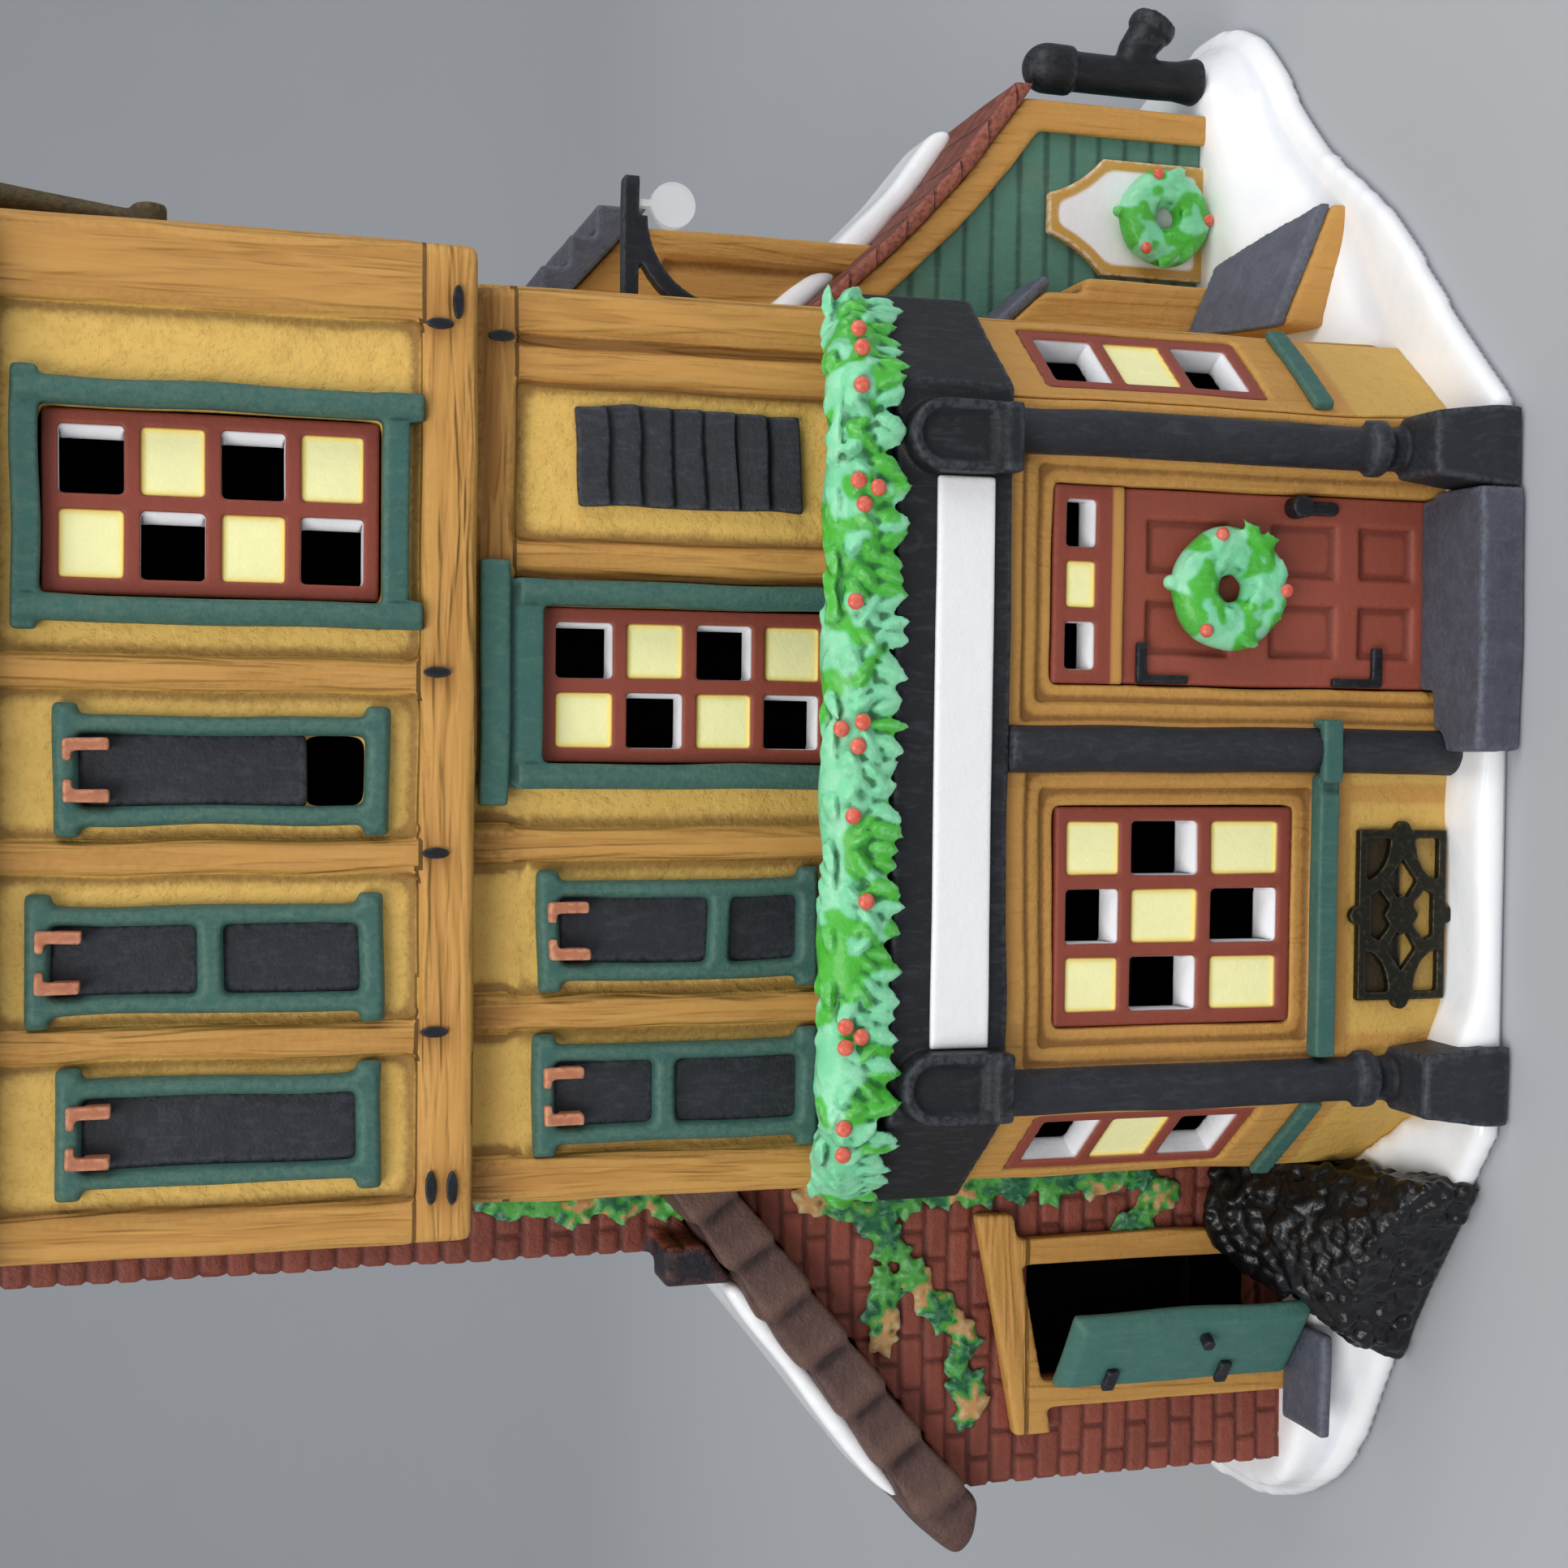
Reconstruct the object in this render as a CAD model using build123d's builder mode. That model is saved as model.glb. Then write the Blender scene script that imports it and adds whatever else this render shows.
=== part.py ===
"""Ceramic Christmas village house, in millimetres, +Z up and the front towards -Y.

A three-storey timber-framed shop with a brick lean-to on its left and a plank shed on its right,
cast in separate pieces that are luted together, with a lamp that pushes into its rear wall.
X = 0 is the middle of the shop, and Z = 0 is the face that the snow base rests on.
"""
import os
from math import cos, hypot, radians, sin, tan

from build123d import *

os.makedirs("parts", exist_ok=True)

# Castings: wall thickness, height of the relief, luted joints, and the overrun of every cut
wall = 3.2
relief = 1.2
lute = 0.15
overrun = 4.0

# Storeys, each measured from the one below
base_thick = 2.4
shop_height = 63.6
first_height = 42.0
upper_height = 50.0
shop_top = base_thick + shop_height
first_top = shop_top + first_height
upper_top = first_top + upper_height

# House core and the jettied upper storey
core_half = 46.5
front_y = -32.0
rear_y = 38.0
jetty_side = 3.0
jetty_front = 4.0
upper_half = core_half + jetty_side
upper_front_y = front_y - jetty_front
rail_height = 5.5
top_rail_height = 4.2
corner_post = 4.2
stud = 3.0

# Shop bay: flat front with two slanting sides
bay_run = 10.0
bay_depth = 12.0
shop_wall = 5.0
bay_roof_thick = 3.0
bay_front_y = front_y - bay_depth
bay_half = core_half - bay_run
bay_side = hypot(bay_run, bay_depth)

# Snow base and its two banks, drawn as shares of the half length and of the depth
yard = 49.5
base_half = core_half + yard
base_apron = 7.0
base_depth = base_apron - bay_front_y
left_ground = 8.0
right_ground = 9.5
base_edge_shares = (
    (0.40, -1.0), (0.53, -0.76), (0.675, -0.50), (0.755, -0.29), (0.84, -0.12), (0.93, 0.01), (0.995, 0.20),
    (1.0, 0.42), (0.93, 0.76), (0.62, 0.97), (-0.62, 0.97), (-0.94, 0.72), (-1.0, 0.20), (-0.98, -0.17),
    (-0.88, -0.465), (-0.69, -0.665), (-0.53, -0.855), (-0.42, -1.0),
)
left_bank_low_shares = (
    (-0.42, -0.94), (-0.60, -0.73), (-0.79, -0.53), (-0.925, -0.34), (-0.97, 0.08), (-0.92, 0.60),
    (-0.65, 0.85), (-0.42, 0.85),
)
left_bank_high_shares = (
    (-0.42, -0.60), (-0.58, -0.57), (-0.76, -0.49), (-0.902, -0.41), (-0.935, 0.08), (-0.88, 0.54),
    (-0.65, 0.73), (-0.42, 0.73),
)
right_bank_low_shares = (
    (0.42, -0.66), (0.55, -0.50), (0.66, -0.37), (0.75, -0.215), (0.84, -0.06), (0.955, 0.12), (0.97, 0.42),
    (0.90, 0.70), (0.65, 0.84), (0.42, 0.84),
)
right_bank_high_shares = (
    (0.42, -0.22), (0.53, -0.19), (0.63, -0.14), (0.72, -0.06), (0.82, 0.02), (0.91, 0.10), (0.93, 0.37),
    (0.86, 0.61), (0.65, 0.73), (0.42, 0.73),
)

# Chequered lattice sashes: bars, blind panes and the depth they are set back
bar = 1.5
sash_depth = 2.2
sash_set = 1.4
pane_set = 0.5
pane_thick = 1.2
frame_bar = 2.6
frame_proud = 0.9
header_height = 3.1
header_proud = 1.7

# Shop window, door bay and their stepped surrounds
shop_sash_share = -0.4712
shop_sash_width_share = 0.6411
shop_sash_x = shop_sash_share * bay_half
shop_sash_low = 18.2
shop_sash_width = shop_sash_width_share * bay_half
shop_sash_height = 27.8
surround_steps = 2
surround_step = 2.0
surround_drop = 0.9
door_share = 0.4822
door_width_share = 0.5753
door_x = door_share * bay_half
door_width = door_width_share * bay_half
door_height = 38.4
door_thick = 2.0
door_set = 2.6
transom_height = 6.6
transom_gap = 1.8
panel_sink = 0.6
panel_taper = 35.0
door_panel_shares = ((0.205, 0.60, 0.26), (0.205, 0.265, 0.215), (0.205, 0.02, 0.18))
door_panel_width_share = 0.29
side_sash_width = 11.8
side_sash_height = 26.0
side_sash_low = 21.6
side_sash_shift = 0.8
side_sash_set = 0.3
side_sash_depth = 1.7
door_strap_shares = ((0.20, 1), (0.963, -1))
door_strap_rise = 6.0
door_hinge_bar = 1.2
handle_share = 0.43
handle_length = 6.4
handle_width = 1.5
knob_radius = 1.2

# Columns, sills, step, fascia and grille on the shop front
column_radius = 2.5
column_ring = 3.2
column_ring_height = 2.2
column_base_width = 8.6
column_base_taper = 7.0
column_foot = 1.2
column_base_height = 7.4
column_shares = (-0.958, 0.011, 0.904)
sill_height = 2.3
sill_depth = 2.2
sill_wrap = 0.9
sill_low = 17.4
side_sill_share = 0.41
side_sill_shift = 0.6
step_left_over = 6.5
step_depth = 9.0
step_thick = 2.8
fascia_thick = 1.6
fascia_low = 52.6
fascia_height = 12.6
console_width = 7.2
console_depth = 3.0
console_rim = 1.1
console_sink = 0.7
console_foot = 1.8
console_foot_over = 0.4
console_height = 11.8
console_shares = (-0.925, 0.866)
sign_height = 6.2
sign_thick = 0.8
sign_rise = 2.2
grille_width_share = 0.5041
grille_z = 8.8
grille_width = grille_width_share * bay_half
grille_height = 10.6
grille_thick = 1.0
grille_bar = 0.9
grille_corner_shares = (0.24, 0.27)
grille_hole_shares = (
    ((-0.15, 0.26), (-0.12, 0.36), (0.12, 0.36), (0.15, 0.26), (0.06, 0.13), (0, 0.20), (-0.06, 0.13)),
    ((-0.15, -0.26), (-0.06, -0.13), (0, -0.20), (0.06, -0.13), (0.15, -0.26), (0.12, -0.36), (-0.12, -0.36)),
    ((-0.33, 0), (-0.20, 0.17), (-0.10, 0.06), (-0.12, 0), (-0.10, -0.06), (-0.20, -0.17)),
    ((0.33, 0), (0.20, -0.17), (0.10, -0.06), (0.12, 0), (0.10, 0.06), (0.20, 0.17)),
)
grille_lug = 1.0

# Garland on the bay roof
garland_in = 3.2
garland_out = 2.8
garland_height = 5.6
garland_round = 1.8
leaf_length = 8.0
leaf_width = 4.2
leaf_count = 17
side_leaf_count = 3
leaf_mid_share = 0.2
berry_radius = 0.9
quarter_turn = 90
berry_shares = (-0.90, -0.83, -0.60, -0.48, -0.35, -0.14, 0.02, 0.10, 0.30, 0.47, 0.64, 0.70, 0.86)

# First-floor front
first_stud_shares = (0.84, 0.412, -0.213, -0.588)
first_sash_share = 0.1376
first_sash_width_share = 0.3484
first_sash_x = first_sash_share * core_half
first_sash_low = 3.2
first_sash_width = first_sash_width_share * core_half
first_sash_height = 31.6
louvre_share = 0.6430
louvre_width_share = 0.2237
louvre_x = louvre_share * core_half
louvre_low = 7.6
louvre_width = louvre_width_share * core_half
louvre_height = 23.8
louvre_slats = 7
louvre_proud = 1.6
first_shutter_shares = ((-0.406, 0.114, 0.833, 0.381), (-0.770, 0.114, 0.845, 0.514))
first_railed = (True, True)

# Upper-storey front
upper_stud_shares = (0.874, 0.135, -0.222, -0.583)
upper_sash_share = 0.4626
upper_sash_width_share = 0.3596
upper_sash_x = upper_sash_share * upper_half
upper_sash_low = 9.4
upper_sash_width = upper_sash_width_share * upper_half
upper_sash_height = 31.8
upper_shutter_shares = (
    (-0.053, 0.166, 0.798, 0.330), (-0.420, 0.180, 0.850, 0.505), (-0.754, 0.180, 0.794, 0.180),
)
upper_railed = (False, True, False)
peg_radius = 0.75
peg_stretch_share = 1.75
peg_proud = 0.5
peg_shares = (
    (0.883, 0.40, 0), (0.838, 0.72, 90), (0.147, 0.72, 90), (-0.214, 0.72, 90), (-0.572, 0.72, 90),
    (-0.885, 0.76, 0), (-0.887, 0.38, 0),
)
first_peg_share = 0.890
first_peg_drop = 2.7

# Shutters of both floors
shutter_width_share = 0.2258
shutter_head_share = 0.2731
shutter_width = shutter_width_share * core_half
shutter_head = shutter_head_share * core_half
shutter_bar = 2.4
shutter_jamb = 1.9
shutter_proud = 1.5
shutter_panel_thick = 0.7
hinge_length = 4.6
hinge_width = 1.2
hinge_hook = 2.7
hinge_drop = 3.6
hinge_thick = 0.8
hinge_inset = 0.2

# Main roof and its snow
roof_pitch = 50.0
roof_thick = 3.4
eave_over = 5.0
verge_over = 2.0
tile_courses = 7
tile_lip = 0.8
snow_thick = 2.6
lean_snow = 1.2
shed_snow = 4.6
roof_snow_share = 0.42
ridge_y = (upper_front_y + rear_y) / 2
ridge_z = upper_top + (rear_y - ridge_y) * tan(radians(roof_pitch))

# Lean-to on the left, its roof falling away from the house
lean_length = 38.5
lean_front_y = -20.0
lean_rear_y = 8.0
lean_high = 78.6
lean_fall_share = 0.77
lean_roof_thick = 8.0
lean_eave = 6.0
lean_tip = 3.0
lean_tip_shares = (0.52, 0.86)
lean_verge = 4.4
lean_snow_inset = 2.4
hatch_reach = 19.5
hatch_x = -core_half - hatch_reach
hatch_width = 13.6
hatch_low = 4.4
hatch_height = 29.0
hatch_post = 3.2
hatch_lintel = 4.6
hatch_lintel_over = 3.0
hatch_proud = 2.0
hatch_door_width = 12.0
hatch_door_thick = 2.0
hatch_hinge_shares = (0.33, 0.85)
hatch_door_bevel = 1.2
hatch_swing = 35.0
coal_top = 20.0
coal_right_out = 0.4
coal_section_shares = (
    (0, 0.72, 0.26, 1.0, 0.90), (0.42, 1.0, 0.30, 0.68, 0.52), (1.0, 0.62, 0.20, 0.30, 0.26),
)
coal_length = 22.4
coal_front_y = -49.5
coal_lump = 3.2
coal_lump_shares = (
    (0.20, 0.10), (0.40, 0.14), (0.30, 0.30), (0.55, 0.34), (0.16, 0.40), (0.42, 0.50), (0.68, 0.46),
    (0.20, 0.64), (0.40, 0.70), (0.22, 0.84),
)
coal_fall_share = 0.75
coal_spread_share = 2.2
coal_spill_share = 1.015
coal_tilt = 34.0
flag_width = 12.0
flag_depth = 9.0
flag_thick = 1.4
flag_shift = 7.0
flag_x = hatch_x - flag_shift
ivy_thick = 1.0
ivy_leaf = 2.6
ivy_leaf_shares = (
    (0.07, 0.94), (0.11, 0.88), (0.08, 0.82), (0.13, 0.78), (0.20, 0.80), (0.27, 0.76), (0.33, 0.70),
    (0.08, 0.72), (0.10, 0.62), (0.07, 0.54), (0.10, 0.46), (0.15, 0.42), (0.20, 0.66), (0.40, 0.64),
)

# Brick chimney on the left side
chimney_reach = 7.5
chimney_left = upper_half + chimney_reach
chimney_front_y = -15.0
chimney_depth = 20.0
chimney_top = 217.0
chimney_cap = 3.0
chimney_cap_over = 1.4
pot_radius = 3.2
pot_height = 6.0
pot_wall = 1.0
corbel_out = 2.5
corbel_width = 4.6
corbel_top = 84.5
corbel_depth = 6.0

# Rear wing on the right
wing_length = 18.0
wing_front_y = 14.0
wing_rear_y = 36.0
wing_low = 82.0
wing_pitch_share = 0.86
wing_courses = 5
wing_slate = 3.0
wing_eave = 1.8
wing_rail = 3.6
wing_rail_z = 50.0
wing_reveal = 1.0

# Plank shed on the right
shed_length = 35.2
shed_front_y = 4.0
shed_rear_y = 30.0
shed_low = 34.6
shed_rise = 34.0
shed_sag = 3.0
shed_break_shares = (0, 0.25, 0.5, 0.75, 1)
shed_tile = 2.6
shed_eave = 1.5
shed_verge = 2.4
shed_thin_share = 0.5
plank_width = 3.6
plank_groove = 0.5
barge_depth = 5.0
barge_thick = 1.4
shed_post = 4.0
shed_sign_out = 21.1
shed_sign_x = core_half + shed_sign_out
shed_sign_width = 14.6
shed_sign_height = 21.6
shed_sign_thick = 1.2
shed_sign_top_share = 0.34
shed_sign_shoulder_share = 0.66

# Buttress and coal bunker between the shop bay and the shed
buttress_length = 10.8
buttress_front_y = -8.0
buttress_height = 21.0
buttress_rear_y = 2.0
buttress_upper_length = 9.0
buttress_upper_height = 5.5
buttress_upper_rise = 10.0
bunker_rear_z = 16.0
bunker_in = 4.0
bunker_left = core_half + bunker_in
bunker_rear_length = 9.5
bunker_length = 15.4
bunker_reach = 12.0
bunker_front_drop = 5.6
bunker_side_drop = 6.2
slate_thick = 1.4
slate_over = 1.2

# Yard pump
pump_out = 40.1
pump_x = core_half + pump_out
pump_y = 6.0
pump_height = 24.0
pump_radius = 2.5
pump_cap_radius = 3.1
pump_cap_height = 5.0
spout_radius = 2.3
spout_length = 8.4
spout_angle = 30.0
spout_height = 10.2
spout_ring = 2.8
spout_ring_length = 1.4

# Lamp bracket and pole on the right side
bracket_y = -26.0
bracket_z = 91.0
bracket_length = 13.5
bracket_bar = 1.8
bracket_brace = 10.5
bracket_brace_share = 0.7
lantern_reach_share = 0.80
lantern_drop = 4.6
lantern_radius = 2.4
lantern_thick = 1.4
pole_y = -27.0
pole_z = 139.5
pole_low_radius = 0.9
pole_high_radius = 1.7
pole_length = 26.0
pole_lean = 6.0
socket_radius = 1.7

# Wreaths on the door and on the shed board
door_wreath_radius = 7.0
shed_wreath_radius = 6.5
wreath_hole = 1.1
wreath_leaves = 11
wreath_thick = 1.2
wreath_ring_share = 0.88
door_wreath_share = 0.70

# Lamp in the rear wall
lamp_z = 34.0
lamp_hole = 14.0
lamp_gap = 0.3
flange_radius = 17.0
flange_thick = 2.2
collar_length = 5.0
collar_wall = 1.2
lamp_cup_radius = 8.6
lamp_cup_length = 9.0
bulb_cap_radius = 5.8
bulb_cap_length = 10.0
bulb_radius = 9.4
bulb_length = 30.0
bulb_neck = 5.0
bulb_belly_share = 0.38


def facing(x, y, z):
    """Upright plane through a point, facing the front, drawn in X and Z from that point."""
    return Plane(origin=(x, y, z), x_dir=(1, 0, 0), z_dir=(0, -1, 0))


def side_on(x):
    """Upright plane square to X, drawn in Y and Z."""
    return Plane.YZ.offset(x)


def rect(x0, x1, z0, z1, mode=Mode.ADD):
    """Rectangle between two values on each sketch axis."""
    with Locations(((x0 + x1) / 2, (z0 + z1) / 2)):
        Rectangle(x1 - x0, z1 - z0, mode=mode)


def block(x0, x1, y0, y1, z0, z1, mode=Mode.ADD):
    """Block between two values on each axis."""
    with Locations(((x0 + x1) / 2, (y0 + y1) / 2, (z0 + z1) / 2)):
        Box(x1 - x0, y1 - y0, z1 - z0, mode=mode)


def bay_plan(grow):
    """Plan of the bay from the house front, grown outwards by an amount."""
    across = bay_depth / bay_side
    along = bay_run / bay_side
    corner_x = bay_half + grow * (1 - along) / across
    end_x = core_half + grow / across
    corner_y = bay_front_y - grow
    return [(-end_x, front_y), (-corner_x, corner_y), (corner_x, corner_y), (end_x, front_y)]


def bay_side_plane(side, grow=0, level=0):
    """Plane on a slanting side of the bay, facing out, with its origin at mid length at a level."""
    middle = Vector(side * (bay_half + bay_run / 2), bay_front_y + bay_depth / 2, level)
    outward = Vector(side * bay_depth, -bay_run, 0).normalized()
    along = Vector(bay_run, side * bay_depth, 0).normalized()
    return Plane(origin=middle + outward * grow, x_dir=along, z_dir=outward)


def lattice(plane, width, height, columns, rows, first_blind, depth=sash_depth):
    """Sash of bars round chequered panes: every other one is blind and the rest are open."""
    pane_width = (width - (columns + 1) * bar) / columns
    pane_height = (height - (rows + 1) * bar) / rows
    left = bar + (pane_width - width) / 2
    low = bar + (pane_height - height) / 2
    blind = []
    with BuildSketch(plane) as bars:
        Rectangle(width, height)
        for column in range(columns):
            for row in range(rows):
                place = (left + column * (pane_width + bar), low + row * (pane_height + bar))
                with Locations(place):
                    Rectangle(pane_width, pane_height, mode=Mode.SUBTRACT)
                if (column + row) % 2 == first_blind:
                    blind.append(place)
    extrude(bars.sketch, amount=-depth)
    with BuildSketch(plane.offset(-pane_set)) as panes:
        with Locations(*blind):
            Rectangle(pane_width, pane_height)
    extrude(panes.sketch, amount=-pane_thick)


def window_frame(x, y, low, width, height, has_sill):
    """Head, jambs and, where it has one, the sill standing proud of a wall round a sash."""
    half = width / 2
    ear = half + frame_bar + frame_proud
    with BuildSketch(facing(x, y, low)) as frame:
        rect(-half - frame_bar, half + frame_bar, 0, height + frame_bar)
        rect(-half, half, 0, height, mode=Mode.SUBTRACT)
        rect(-ear, ear, height + lute, height + frame_bar)
        if has_sill:
            rect(-ear, ear, -frame_bar, 0)
    extrude(frame.sketch, amount=relief + frame_proud)


def shutter_spans(shares, half, floor, height):
    """Middle, foot, head and dividing heights of one shutter on a storey."""
    x_share, low_share, high_share, split_share = shares
    return x_share * half, floor + low_share * height, floor + high_share * height, floor + split_share * height


def wreath(x, y, z, radius):
    """Flat-backed ring of leaves with a small hole."""
    middle = (radius * wreath_ring_share + wreath_hole) / 2
    tube = (radius * wreath_ring_share - wreath_hole) / 2
    with BuildSketch(Plane(origin=(x, y, z), x_dir=(1, 0, 0), z_dir=(0, 0, 1))) as section:
        with Locations((middle, 0)):
            Circle(tube)
        rect(0, radius + overrun, 0, overrun + tube, mode=Mode.SUBTRACT)
    revolve(section.sketch, axis=Axis((x, y, z), (0, 1, 0)))
    with BuildSketch(facing(x, y, z)) as leaves:
        with PolarLocations(middle + tube / 2, wreath_leaves):
            Ellipse(radius - middle - tube / 2, leaf_width / 3)
        Circle(middle, mode=Mode.SUBTRACT)
    extrude(leaves.sketch, amount=wreath_thick)


def scaled(shares):
    """Plan points of the snow from shares of the base's half length and depth."""
    return [(x * base_half, y * base_depth) for x, y in shares]


# Storeys with shutters: their tables, half width, floor, height and the plane that the shutters lie on
storeys = (
    (first_shutter_shares, first_railed, core_half, shop_top, first_height, front_y + relief),
    (upper_shutter_shares, upper_railed, upper_half, first_top, upper_height, upper_front_y + relief),
)

# Snow base, with a bank on each side of the house
with BuildPart() as snow_base:
    with BuildSketch(Plane.XY):
        with BuildLine():
            base_edge = scaled(base_edge_shares)
            Spline(*base_edge)
            Line(base_edge[-1], base_edge[0])
        make_face()
    extrude(amount=base_thick)
    for low_shares, high_shares, ground in (
        (left_bank_low_shares, left_bank_high_shares, left_ground),
        (right_bank_low_shares, right_bank_high_shares, right_ground),
    ):
        for shares, level in ((low_shares, base_thick), (high_shares, ground)):
            with BuildSketch(Plane.XY.offset(level)):
                with BuildLine():
                    bank_edge = scaled(shares)
                    Spline(*bank_edge)
                    Line(bank_edge[-1], bank_edge[0])
                make_face()
        loft()
    with BuildSketch(Plane.XY.offset(base_thick)):
        Polygon(*bay_plan(0), align=None)
        rect(-core_half, core_half, front_y, rear_y)
    extrude(amount=max(left_ground, right_ground), mode=Mode.SUBTRACT)
snow_base.part.label = "snow_base"
export_step(snow_base.part, "parts/snow_base.step")

# Shop front wall, with stepped surrounds round the window and the door
door_low = base_thick
transom_low = door_low + door_height + transom_gap
door_bay_height = door_height + transom_gap + transom_height
with BuildPart() as shop_front_wall:
    with BuildSketch(facing(0, bay_front_y + shop_wall, 0)):
        rect(-bay_half, bay_half, base_thick, shop_top)
    extrude(amount=shop_wall)
    for step in range(surround_steps + 1):
        margin = (surround_steps - step) * surround_step
        depth = shop_wall + overrun if step == surround_steps else (step + 1) * surround_drop
        with BuildSketch(facing(0, bay_front_y, base_thick)):
            rect(shop_sash_x - shop_sash_width / 2 - margin, shop_sash_x + shop_sash_width / 2 + margin,
                 shop_sash_low - margin, shop_sash_low + shop_sash_height + margin)
            rect(door_x - door_width / 2 - margin, door_x + door_width / 2 + margin,
                 -overrun, door_bay_height + margin)
        extrude(amount=-depth, mode=Mode.SUBTRACT)
shop_front_wall.part.label = "shop_front_wall"
export_step(shop_front_wall.part, "parts/shop_front_wall.step")

# Slanting sides of the bay, each with a window opening
with BuildPart() as bay_sides:
    for side in (-1, 1):
        inner = bay_side_plane(side, -wall)
        slope = inner.x_dir.Y / inner.x_dir.X
        at_corner = inner.origin.Y + slope * (side * bay_half - inner.origin.X)
        at_house = inner.origin.Y + slope * (side * (core_half - wall) - inner.origin.X)
        with BuildSketch(Plane.XY.offset(base_thick)):
            Polygon(
                (side * bay_half, bay_front_y), (side * core_half, front_y),
                (side * core_half, front_y + wall), (side * (core_half - wall), front_y + wall),
                (side * (core_half - wall), at_house), (side * bay_half, at_corner), align=None)
        extrude(amount=shop_height)
        with BuildSketch(bay_side_plane(side)):
            rect(side * side_sash_shift - side_sash_width / 2, side * side_sash_shift + side_sash_width / 2,
                 base_thick + side_sash_low, base_thick + side_sash_low + side_sash_height)
        extrude(amount=wall + overrun, both=True, mode=Mode.SUBTRACT)
bay_sides.part.label = "bay_sides"
export_step(bay_sides.part, "parts/bay_sides.step")

# Bay roof under the garland
with BuildPart() as bay_roof:
    with BuildSketch(Plane.XY.offset(shop_top)):
        Polygon(*bay_plan(0), align=None)
    extrude(amount=bay_roof_thick)
bay_roof.part.label = "bay_roof"
export_step(bay_roof.part, "parts/bay_roof.step")

# Sashes: shop window, slanting sides, transom and the two upper floors
shop_sash_middle = base_thick + shop_sash_low + shop_sash_height / 2
with BuildPart() as shop_sash:
    lattice(facing(shop_sash_x, bay_front_y + surround_steps * surround_drop, shop_sash_middle),
            shop_sash_width - 2 * lute, shop_sash_height - 2 * lute, 3, 3, 0)
shop_sash.part.label = "shop_sash"
export_step(shop_sash.part, "parts/shop_sash.step")

side_sash_middle = base_thick + side_sash_low + side_sash_height / 2
with BuildPart() as bay_side_sashes:
    for side in (-1, 1):
        pane_plane = bay_side_plane(side, -side_sash_set, side_sash_middle)
        pane_plane = Plane(origin=pane_plane.origin + pane_plane.x_dir * side * side_sash_shift,
                           x_dir=pane_plane.x_dir, z_dir=pane_plane.z_dir)
        lattice(pane_plane, side_sash_width - 2 * lute, side_sash_height - 2 * lute, 1, 3, 1, side_sash_depth)
bay_side_sashes.part.label = "bay_side_sashes"
export_step(bay_side_sashes.part, "parts/bay_side_sashes.step")

with BuildPart() as door_transom:
    lattice(facing(door_x, bay_front_y + surround_steps * surround_drop, transom_low + transom_height / 2),
            door_width - 2 * lute, transom_height - 2 * lute, 3, 1, 1)
    block(door_x - door_width / 2 + lute, door_x + door_width / 2 - lute,
          bay_front_y + surround_steps * surround_drop, bay_front_y + shop_wall,
          transom_low - transom_gap + lute, transom_low + lute)
door_transom.part.label = "door_transom"
export_step(door_transom.part, "parts/door_transom.step")

with BuildPart() as first_floor_sash:
    lattice(facing(first_sash_x, front_y + sash_set, shop_top + first_sash_low + first_sash_height / 2),
            first_sash_width - 2 * lute, first_sash_height - 2 * lute, 2, 4, 1)
first_floor_sash.part.label = "first_floor_sash"
export_step(first_floor_sash.part, "parts/first_floor_sash.step")

with BuildPart() as upper_sash:
    lattice(facing(upper_sash_x, upper_front_y + sash_set, first_top + upper_sash_low + upper_sash_height / 2),
            upper_sash_width - 2 * lute, upper_sash_height - 2 * lute, 2, 4, 1)
upper_sash.part.label = "upper_sash"
export_step(upper_sash.part, "parts/upper_sash.step")

# Panelled door, and the wreaths on it and on the shed board
door_face_y = bay_front_y + door_set
with BuildPart() as door:
    with BuildSketch(facing(door_x, door_face_y, door_low)):
        rect(-door_width / 2 + lute, door_width / 2 - lute, 0, door_height)
    extrude(amount=-door_thick)
    with BuildSketch(facing(door_x, door_face_y, door_low)):
        for across_share, low_share, high_share in door_panel_shares:
            for side in (-1, 1):
                half = door_panel_width_share * door_width / 2
                middle = side * across_share * door_width
                rect(middle - half, middle + half,
                     low_share * door_height + step_thick, (low_share + high_share) * door_height + step_thick)
    extrude(amount=-panel_sink, taper=panel_taper, mode=Mode.SUBTRACT)
door.part.label = "door"
export_step(door.part, "parts/door.step")

shed_board_z = right_ground
wreath_places = (
    (door_x, door_face_y, door_low + door_wreath_share * door_height, door_wreath_radius),
    (shed_sign_x, shed_front_y - shed_sign_thick, shed_board_z + shed_wreath_radius, shed_wreath_radius),
)
with BuildPart() as wreaths:
    for x, y, z, radius in wreath_places:
        wreath(x, y, z, radius)
wreaths.part.label = "wreaths"
export_step(wreaths.part, "parts/wreaths.step")

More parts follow.
